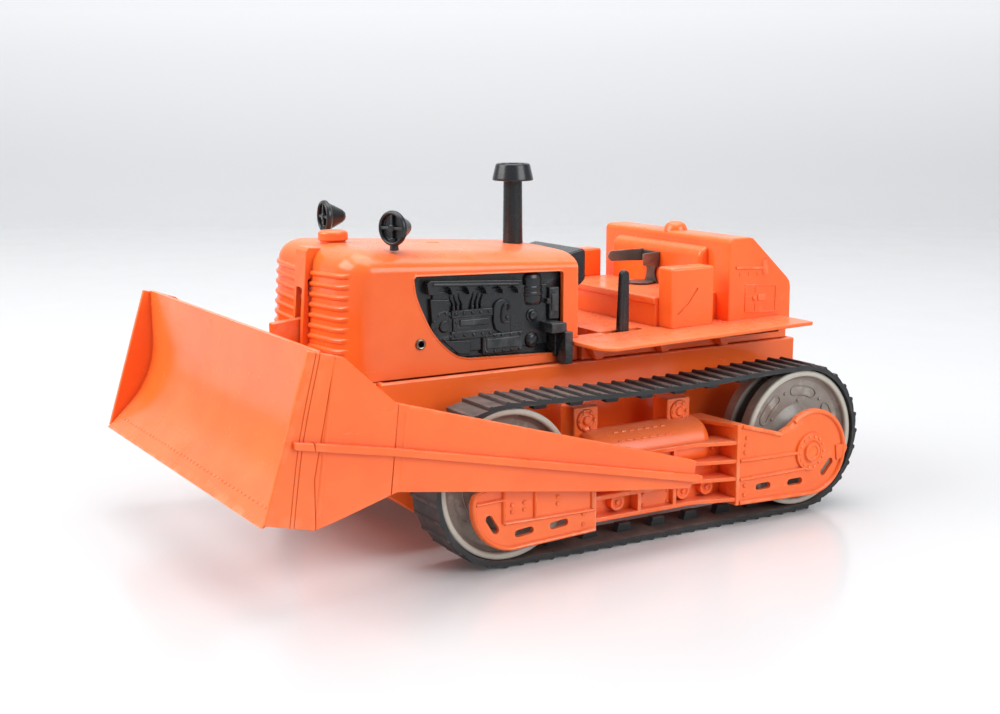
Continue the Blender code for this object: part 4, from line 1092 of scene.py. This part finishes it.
def cover_relief():
    """Rims, ribs, hub housing and bolt heads that stand proud of the two wheel covers."""
    y0, y1 = FRAME_Y
    face = COVER_X[1]
    proud = COVER_RIB_X - face
    parts = []
    nose = [(y0, 11.8), (FRONT_BOSS[0], 10.2)] + arc(FRONT_BOSS, COVER_R - 1.1, 266, 172, 24)
    parts.append(line_x(nose + [(-100.2, 34.6), (-95.8, 36.6), (-87.6, FRAME_TOP - 1.1)], face, 2.0, proud))
    arch = [(y1 + 0.8, 47.4), (64.2, 40.8)]
    parts.append(line_x(arch, face, 2.0, proud))
    parts.append(line_x(arc(REAR_BOSS, COVER_R - 1.2, 126, -90, 44) + [(y1, 11.4)], face, 2.2, proud))
    parts.append(line_x([(-100.4, RIB_Z[1]), (-86.5, RIB_Z[1] + 0.4)], face, 1.5, proud))
    parts.append(line_x([(-86.5, RIB_Z[0] - 1.6), (y0, RIB_Z[0] - 2.3)], face, 1.6, proud))
    for y in (-87.0, -71.5, -42.2):
        parts.append(line_x([(y, FRAME_TOP - 0.8), (y, RIB_Z[0] - 1.6)], face, 1.6, proud))
    parts.append(line_x([(y1, 22.4), (81.0, 22.6)], face, 1.7, proud))
    parts.append(line_x([(y1, 31.3), (HUB[0] - 8, 30.6)], face, 1.7, proud))
    parts.append(turned(rounded([(face - 0.4, 0), (face - 0.4, 9.3), (face + 1.3, 9.0),
                                 (face + 1.3, 5.6), (face + 0.8, 5.2), (face + 0.8, 4.6),
                                 (face + 2.2, 4.3), (face + 2.2, 3.1), (face + 1.6, 2.8),
                                 (face + 1.9, 1.8), (face + 2.1, 0)], 0.3), (0, *HUB), "X", 64))
    parts.append(joined([stud(face + 1.3, *around(HUB, 7.3, 360 * k / 14), 0.8, 0.5)
                         for k in range(14)]))
    heads = [(-82.7, 28.7), (-82.7, 25.8), (-76.8, 29.0), (-76.8, 26.0), (-46.8, 19.5),
             (-46.8, 14.8), (43.8, 41.7), (43.4, 38.3), (43.0, 35.0), (43.2, 19.2), (43.2, 14.8),
             (-60.0, 29.0), (-60.0, 26.0), (-52.0, 36.0)]
    parts.append(joined([stud(face, y, z, 0.95, 0.75) for y, z in heads]))
    # the short step behind the hub housing
    parts.append(slab("X", [(99.0, 31.6), (105.6, 31.4), (106.6, 29.6), (104.4, 25.0), (100.0, 24.0)],
                      (face - 0.6, face + 0.9), 0.4))
    return parts


def web_relief():
    """Upright ribs, roller bosses, the bolted panel and the arm pin's boss on the web."""
    face = WEB_X[1]
    parts = []
    for y in (-12.2, 7.5):
        parts.append(box((WEB_X[0] + 1, FLANGE_X), (y - 1.0, y + 1.0), (13.0, FRAME_TOP), 0.35))
    for y, z, radius in ((-22.4, 18.8, 4.0), (14.4, 18.6, 4.0), (28.0, 18.8, 4.0)):
        profile = rounded([(face - 1, 0), (face - 1, radius), (face + 3.4, radius * 0.94),
                           (face + 3.4, radius * 0.6), (face + 2.8, radius * 0.5),
                           (face + 2.8, radius * 0.28), (face + 3.8, radius * 0.24),
                           (face + 3.8, 0)], 0.3)
        parts.append(turned(profile, (0, y, z), "X", 32))
    parts.append(box((face - 0.6, face + 3.6), (-11.6, 6.9), (13.8, 22.4), 0.4))
    parts.append(joined([stud(face + 3.6, y, z, 0.75, 0.7) for y in (-9.0, 4.8) for z in (15.6, 20.6)]))
    for y in (-34.0, -26.0, -12.0, -6.0, 12.0, 20.0, 34.0):
        parts.append(stud(face, y, 27.2, 1.0, 1.2))
    for y in (-35.0, -28.0, -13.0, 12.0, 20.0, 33.0):
        parts.append(stud(face, y, 36.0, 1.1, 1.3))
    parts.append(turned(rounded([(WEB_X[0] + 1, 0), (WEB_X[0] + 1, 6.2), (ARM_X[0] - 1.6, 5.3),
                                 (ARM_X[0] - 0.8, 4.6), (ARM_X[0] - 0.8, 0)], 0.5),
                        (0, *BLADE_PIVOT), "X", 48))
    return parts


def spring_housing():
    """Half-round spring housing along the frame, its tie to the hull and two bolted pads."""
    top = HOUSING_Z
    parts = [turned(rounded([(-36.0, 0), (-36.0, 10.3), (-33.0, 12.0), (27.0, 12.0), (30.0, 10.3),
                             (30.0, 0)], 1.2, 5), (69.0, 0, top), "Y", 72)]
    parts.append(box((HULL_X + GAP, 75.0), (-30.0, 25.0), (26.0, 40.0), 0.8))
    for y, z in ((-32.4, 55.2), (19.2, 53.6)):
        parts.append(box((58.5, 69.6), (y - 6.6, y + 6.6), (38.0, z + 6.2), 0.9))
        rosette = rounded([(69.0, 0), (69.0, 5.2), (70.3, 5.0), (70.6, 4.2), (70.1, 3.4),
                           (70.1, 2.2), (71.0, 1.8), (71.0, 0)], 0.35)
        parts.append(turned(rosette, (0, y, z), "X", 40))
        parts.append(joined([stud(70.2, *around((y, z), 3.9, 60 * k), 0.8, 0.8) for k in range(6)]))
    dashes = []
    for y in spaced(-20.0, 6.0, 4.4):
        for angle in (38.0, 62.0):
            out = Vector((math.cos(math.radians(angle)), 0, math.sin(math.radians(angle))))
            base = Vector((69.0, 0, top)) + out * 12.0
            dashes.append(bead([base + Vector((0, y - 1.1, 0)), base + Vector((0, y + 1.1, 0))], out,
                               0.9, 0.4))
    parts.append(joined(dashes))
    return parts


# --------------------------------------------------------------------- blade and its lift

def mouldboard_points():
    """Front face of the mouldboard from its top to the cutting edge."""
    top_y, top_z = -173.8, 103.6
    radius = 42.0
    bend = arc((top_y - radius, 80.0), radius, 0, -45, 22)
    foot = bend[-1]
    return [(top_y, top_z)] + bend + [(foot[0] - 11.3, foot[1] - 11.3)]


def build_blade():
    """Curved mouldboard between two end plates, riveted along its foot, with rear brackets."""
    face = mouldboard_points()
    back = [(y + 2.3, z - 0.2) for y, z in face[:-1]] + [(face[-1][0] + 1.6, face[-1][1] - 0.2)]
    board = slab("X", face + back[::-1], (-BLADE_X + 1, BLADE_X - 1), 0.35, 2, corners=False)
    plate = [(-177.0, 104.1), (-166.1, 101.4), (-175.7, 55.0), (-175.7, 34.8), (-196.4, 39.9)]
    parts = []
    for sx in (-1, 1):
        parts.append(slab("X", plate, (sx * (BLADE_X - 2.3), sx * BLADE_X), 0.5))
    parts.append(box((-9.0, 9.0), (-174.0, -156.0), (67.5, 69.7), 0.5))
    spine = [(y + 1.2, z) for y, z in face[1:-1]]
    for sx in (-1, 1):
        parts.append(slab("X", [(-173.0, 67.8), (-156.5, 67.8), (-172.0, 84.0)],
                          (sx * 7.0, sx * 9.0), 0.3))
        parts.append(slab("X", spine + [(-169.5, 60.0), (-168.5, 80.0)],
                          (sx * 48.0, sx * 50.5), 0.3, corners=False))
    blade = fuse(board, *parts)
    # rivets along the straight foot of the mouldboard, which leans forward at 45 degrees
    foot_y, foot_z = face[-2]
    slope = Vector((0, -1, 1)).normalized()
    rivets = []
    for x in spaced(-94.0, 94.0, 4.2):
        rivet = turned([(-0.5, 0), (-0.5, 0.6), (0.2, 0.55), (0.38, 0.25), (0.38, 0)],
                       (0, 0, 0), "X", 12)
        turn = Vector((1, 0, 0)).rotation_difference(slope).to_matrix().to_4x4()
        centre = Vector((x, foot_y - 6.0, foot_z - 6.0))
        rivet.data.transform(Matrix.Translation(centre) @ turn)
        rivets.append(rivet)
    return carve(fuse(blade, joined(rivets), *blade_lines()), *plate_grooves())


def blade_lines():
    """Short ends of the arms' ribs, carried over both end plates."""
    rib = [(-184.2, 70.6), (-176.4, 69.4), (-176.0, 66.2), (-184.0, 67.6)]
    ribs = []
    for side in SIDES:
        ribs.append(mirrored(slab("X", rib, (BLADE_X - 0.8, BLADE_X + 2.3), 0.5), side))
    return ribs


def plate_grooves():
    """Cutters for the two fine grooves down each end plate."""
    cutters = []
    for side in SIDES:
        for shift in (0.0, 1.7):
            line = [(-173.2 + shift, 106.0), (-181.6 + shift, 70.6), (-186.3 + shift, 37.4),
                    (-186.6 + shift, 34.0)]
            path = [(BLADE_X, y, z) for y, z in curve_through(line, 4)]
            cutters.append(mirrored(bead(path, (1, 0, 0), 0.5, 0.6, sink=0.3), side))
    return cutters


def arm_outer(y):
    """The push arm's outer face, which flares where the arm laps the blade."""
    return ARM_X[1] + FLARE_OUT * min(1.0, max(0.0, (ARM_CREASE - y) / FLARE_RUN))


def flared(obj):
    """Bends a flat arm outline along its crease so that its front follows the flare."""
    bm = bmesh.new()
    bm.from_mesh(obj.data)
    for y in (ARM_CREASE, ARM_CREASE - FLARE_RUN):
        geometry = bm.verts[:] + bm.edges[:] + bm.faces[:]
        bmesh.ops.bisect_plane(bm, geom=geometry, plane_co=(0, y, 0), plane_no=(0, 1, 0), dist=1e-4)
    for vert in bm.verts:
        vert.co.x += arm_outer(vert.co.y) - ARM_X[1]
    bm.to_mesh(obj.data)
    bm.free()
    return obj


def build_push_arm():
    """Tapering side arm with its long rib and faint vertical lines near the blade."""
    outline = [(-166.0, 101.2), (-162.0, 100.0), (ARM_CREASE, 79.6), (10.0, 36.7), (9.0, 30.2),
               (8.0, 26.6), (6.4, 24.4), (-42.0, 30.0), (ARM_CREASE, 43.8), (-175.6, 34.9),
               (-175.6, 55.0)]
    arm = slab("X", outline, ARM_X, 0.5)
    rib = slab("X", [(-176.0, 69.4), (ARM_CREASE, 61.8), (11.6, 30.2), (11.8, 28.4),
                     (8.0, 27.6), (ARM_CREASE, 58.6), (-176.0, 66.2)],
               (ARM_X[1] - 0.8, ARM_X[1] + 2.6), 0.5)
    parts = [rib]
    parts.append(line_x([(-165.6, 99.6), (-170.6, 69.4), (-174.4, 40.0)], ARM_X[1], 2.2, 0.3))
    parts.append(line_x([(ARM_CREASE + 4.4, 75.8), (ARM_CREASE + 1.6, 46.4)], ARM_X[1], 2.0, 0.2))
    arm = flared(fuse(arm, *parts))
    groove = slab("X", [(ARM_CREASE + 1.8, 90.0), (ARM_CREASE + 2.3, 90.0), (ARM_CREASE - 4.3, 30.0),
                        (ARM_CREASE - 4.8, 30.0)], (ARM_X[1] - 0.25, ARM_X[1] + 0.9))
    bore = rod(2.3, ARM_X[0] - 2, ARM_X[0] + 2.2, (0, *BLADE_PIVOT))
    return carve(arm, groove, bore)


def build_lift_arm():
    """Goose-neck arm on the lift shaft, out through the nose slot and down behind the blade."""
    neck = [(12.5, 58.5), (12.5, 65.5), (10.5, 66.8), (-40.0, 69.0), (-118.0, 94.5),
            (-137.0, 100.5), (-151.5, 99.0), (-151.5, 66.2), (-168.0, 66.2), (-168.0, 61.5),
            (-145.0, 61.5), (-145.0, 86.0), (-124.0, 84.0), (-36.0, 57.5), (10.5, 57.3)]
    arm = slab("X", neck, (-LIFT_ARM_X, LIFT_ARM_X), 0.5)
    return carve(arm, rod(1.8, -10, 10, (0, *LIFT_PIVOT)))


def build_lever():
    """Tapered hand lever with a rounded tip and a raised spine, keyed on the lift shaft."""
    y, z = LIFT_PIVOT
    outline = [(y - 3.6, z - 3), (y - 2.0, z - 4.6), (y + 2.0, z - 4.6), (y + 3.6, z - 3),
               (y + 3.3, 113.8)] + arc((y + 1.0, 114.3), 2.3, 0, 180, 12)[1:-1] + [(y - 1.3, 113.8)]
    lever = slab("X", outline, (LEVER_X - 2.2, LEVER_X + 0.9), 0.7, corners=False)
    spine = line_x([(y, z + 8), (y + 0.9, 112.5)], LEVER_X + 0.9, 1.6, 0.25)
    lever = fuse(lever, spine)
    return carve(lever, rod(1.8, 30, 50, (0, y, z)))


# -------------------------------------------------------------------------- all the pieces

present(build_hull(), "hull", "orange_plastic")
present(build_hood(), "hood", "orange_plastic")
present(build_rear_body(), "rear_body", "orange_plastic")
present(build_dash(), "dash_box", "black_plastic")
present(build_cap(), "radiator_cap", "orange_plastic")
present(build_stack(), "exhaust_stack", "black_plastic")
present(build_clip(), "driver_clip", "clip_sheet")
present(build_blade(), "blade", "orange_plastic")
present(build_lift_arm(), "lift_arm", "orange_plastic")
present(build_lever(), "hand_lever", "black_plastic")
present(rod(1.5, -HULL_X + 0.4, HULL_X - 0.4, (0, *LIFT_PIVOT)), "lift_shaft", "bright_steel")

for side in SIDES:
    present(mirrored(build_engine_insert(), side), f"engine_insert_{side}", "black_plastic")
    present(build_lamp(side), f"headlight_{side}", "black_plastic")
    present(mirrored(build_eyelet(), side), f"hood_eyelet_{side}", "bright_steel")
    present(mirrored(build_side_frame(), side), f"side_frame_{side}", "orange_plastic")
    present(mirrored(build_track(), side), f"track_{side}", "black_rubber")
    present(mirrored(build_push_arm(), side), f"push_arm_{side}", "orange_plastic")
    pin = rod(2.0, 79.4, ARM_X[0] + 1.9, (0, *BLADE_PIVOT))
    present(mirrored(pin, side), f"arm_pin_{side}", "bright_steel")
    for end, y in (("front", -WHEELBASE / 2), ("rear", WHEELBASE / 2)):
        hub = (0, y, AXLE_Z)
        present(mirrored(build_outer_wheel(hub), side), f"wheel_{end}_{side}_outer", "grey_plastic")
        inner = turned(disc_profile(INNER_DISC_X, 2.6, 2.6), hub, "X", 96)
        present(mirrored(inner, side), f"wheel_{end}_{side}_inner", "grey_plastic")
        present(mirrored(build_axle_cap(hub), side), f"axle_cap_{end}_{side}", "bright_steel")

for end, y in (("front", -WHEELBASE / 2), ("rear", WHEELBASE / 2)):
    present(rod(AXLE_R, -86.3, 86.3, (0, y, AXLE_Z)), f"axle_{end}", "bright_steel")


# -------------------------------------------------------------------------------- studio

def build_stage():
    """A pale glossy table that curves up into the backdrop."""
    bm = bmesh.new()
    profile = [(2.2, 0.0), (-1.5, 0.0)]
    profile += [(-1.5 + 0.9 * -math.sin(a), 0.9 - 0.9 * math.cos(a))
                for a in (math.pi / 2 * k / 16 for k in range(1, 17))]
    profile += [(-2.4, 3.2)]
    rows = [[bm.verts.new((along, across, up)) for across in (-3.2, 3.2)] for along, up in profile]
    for here, there in zip(rows, rows[1:]):
        bm.faces.new((here[0], here[1], there[1], there[0]))
    stage = solid_from(bm)
    stage.name = "studio_table"
    stage.data.transform(Matrix.Rotation(math.radians(-31.0), 4, "Z"))
    stage.data.shade_smooth()
    material = bpy.data.materials.new("studio_table_look")
    material.use_nodes = True
    tree = material.node_tree
    nodes, links = tree.nodes, tree.links
    shader = nodes["Principled BSDF"]
    coords = nodes.new("ShaderNodeTexCoord").outputs["Object"]
    split = nodes.new("ShaderNodeSeparateXYZ")
    links.new(coords, split.inputs[0])
    height = ramp(tree, split.outputs["Z"], 0.0, 0.9)
    links.new(mixed(tree, height, (0.61, 0.615, 0.625), (0.46, 0.465, 0.47)),
              shader.inputs["Base Color"])
    glow = ramp(tree, split.outputs["Z"], 0.0, 0.35)
    links.new(mixed(tree, glow, (0.03, 0.03, 0.03), (0.40, 0.405, 0.415)),
              shader.inputs["Emission Color"])
    shader.inputs["Emission Strength"].default_value = 1.0
    rough = ramp(tree, noise_of(tree, coords, 6.0, 2.0), 0.3, 0.7, 0.16, 0.24)
    links.new(rough, shader.inputs["Roughness"])
    stage.data.materials.append(material)


def add_softbox(name, place, target, size, power, colour=(1.0, 1.0, 1.0)):
    light = bpy.data.lights.new(name, "AREA")
    light.shape = "RECTANGLE"
    light.size, light.size_y = size
    light.energy = power
    light.color = colour
    obj = bpy.data.objects.new(name, light)
    obj.location = place
    obj.rotation_euler = (Vector(target) - Vector(place)).to_track_quat("-Z", "Y").to_euler()
    bpy.context.scene.collection.objects.link(obj)


def add_camera():
    """Camera at the height and bearing the toy is seen from."""
    yaw, pitch = math.radians(CAMERA_YAW), math.radians(CAMERA_PITCH)
    ahead = Vector((-math.sin(yaw) * math.cos(pitch), math.cos(yaw) * math.cos(pitch),
                    -math.sin(pitch)))
    camera = bpy.data.cameras.new("camera")
    camera.sensor_fit = "HORIZONTAL"
    camera.sensor_width = 36.0
    camera.lens = CAMERA_LENS
    obj = bpy.data.objects.new("camera", camera)
    obj.location = CAMERA_PLACE
    obj.rotation_euler = ahead.to_track_quat("-Z", "Y").to_euler()
    bpy.context.scene.collection.objects.link(obj)
    bpy.context.scene.camera = obj


build_stage()
add_softbox("left_softbox", (-0.55, -1.45, 1.15), (0, 0, 0.05), (1.6, 1.2), 33.0, (1.0, 0.985, 0.965))
add_softbox("top_softbox", (-0.1, 0.1, 1.7), (0, 0, 0), (1.6, 1.6), 25.0)
add_softbox("right_softbox", (1.65, 0.75, 1.0), (0, 0, 0.06), (1.3, 1.1), 21.0, (0.98, 0.99, 1.0))
world = bpy.data.worlds.new("studio_air")
world.use_nodes = True
world.node_tree.nodes["Background"].inputs["Color"].default_value = (0.93, 0.96, 1.0, 1.0)
world.node_tree.nodes["Background"].inputs["Strength"].default_value = 0.42
bpy.context.scene.world = world
add_camera()
bpy.context.scene.view_settings.view_transform = "Standard"
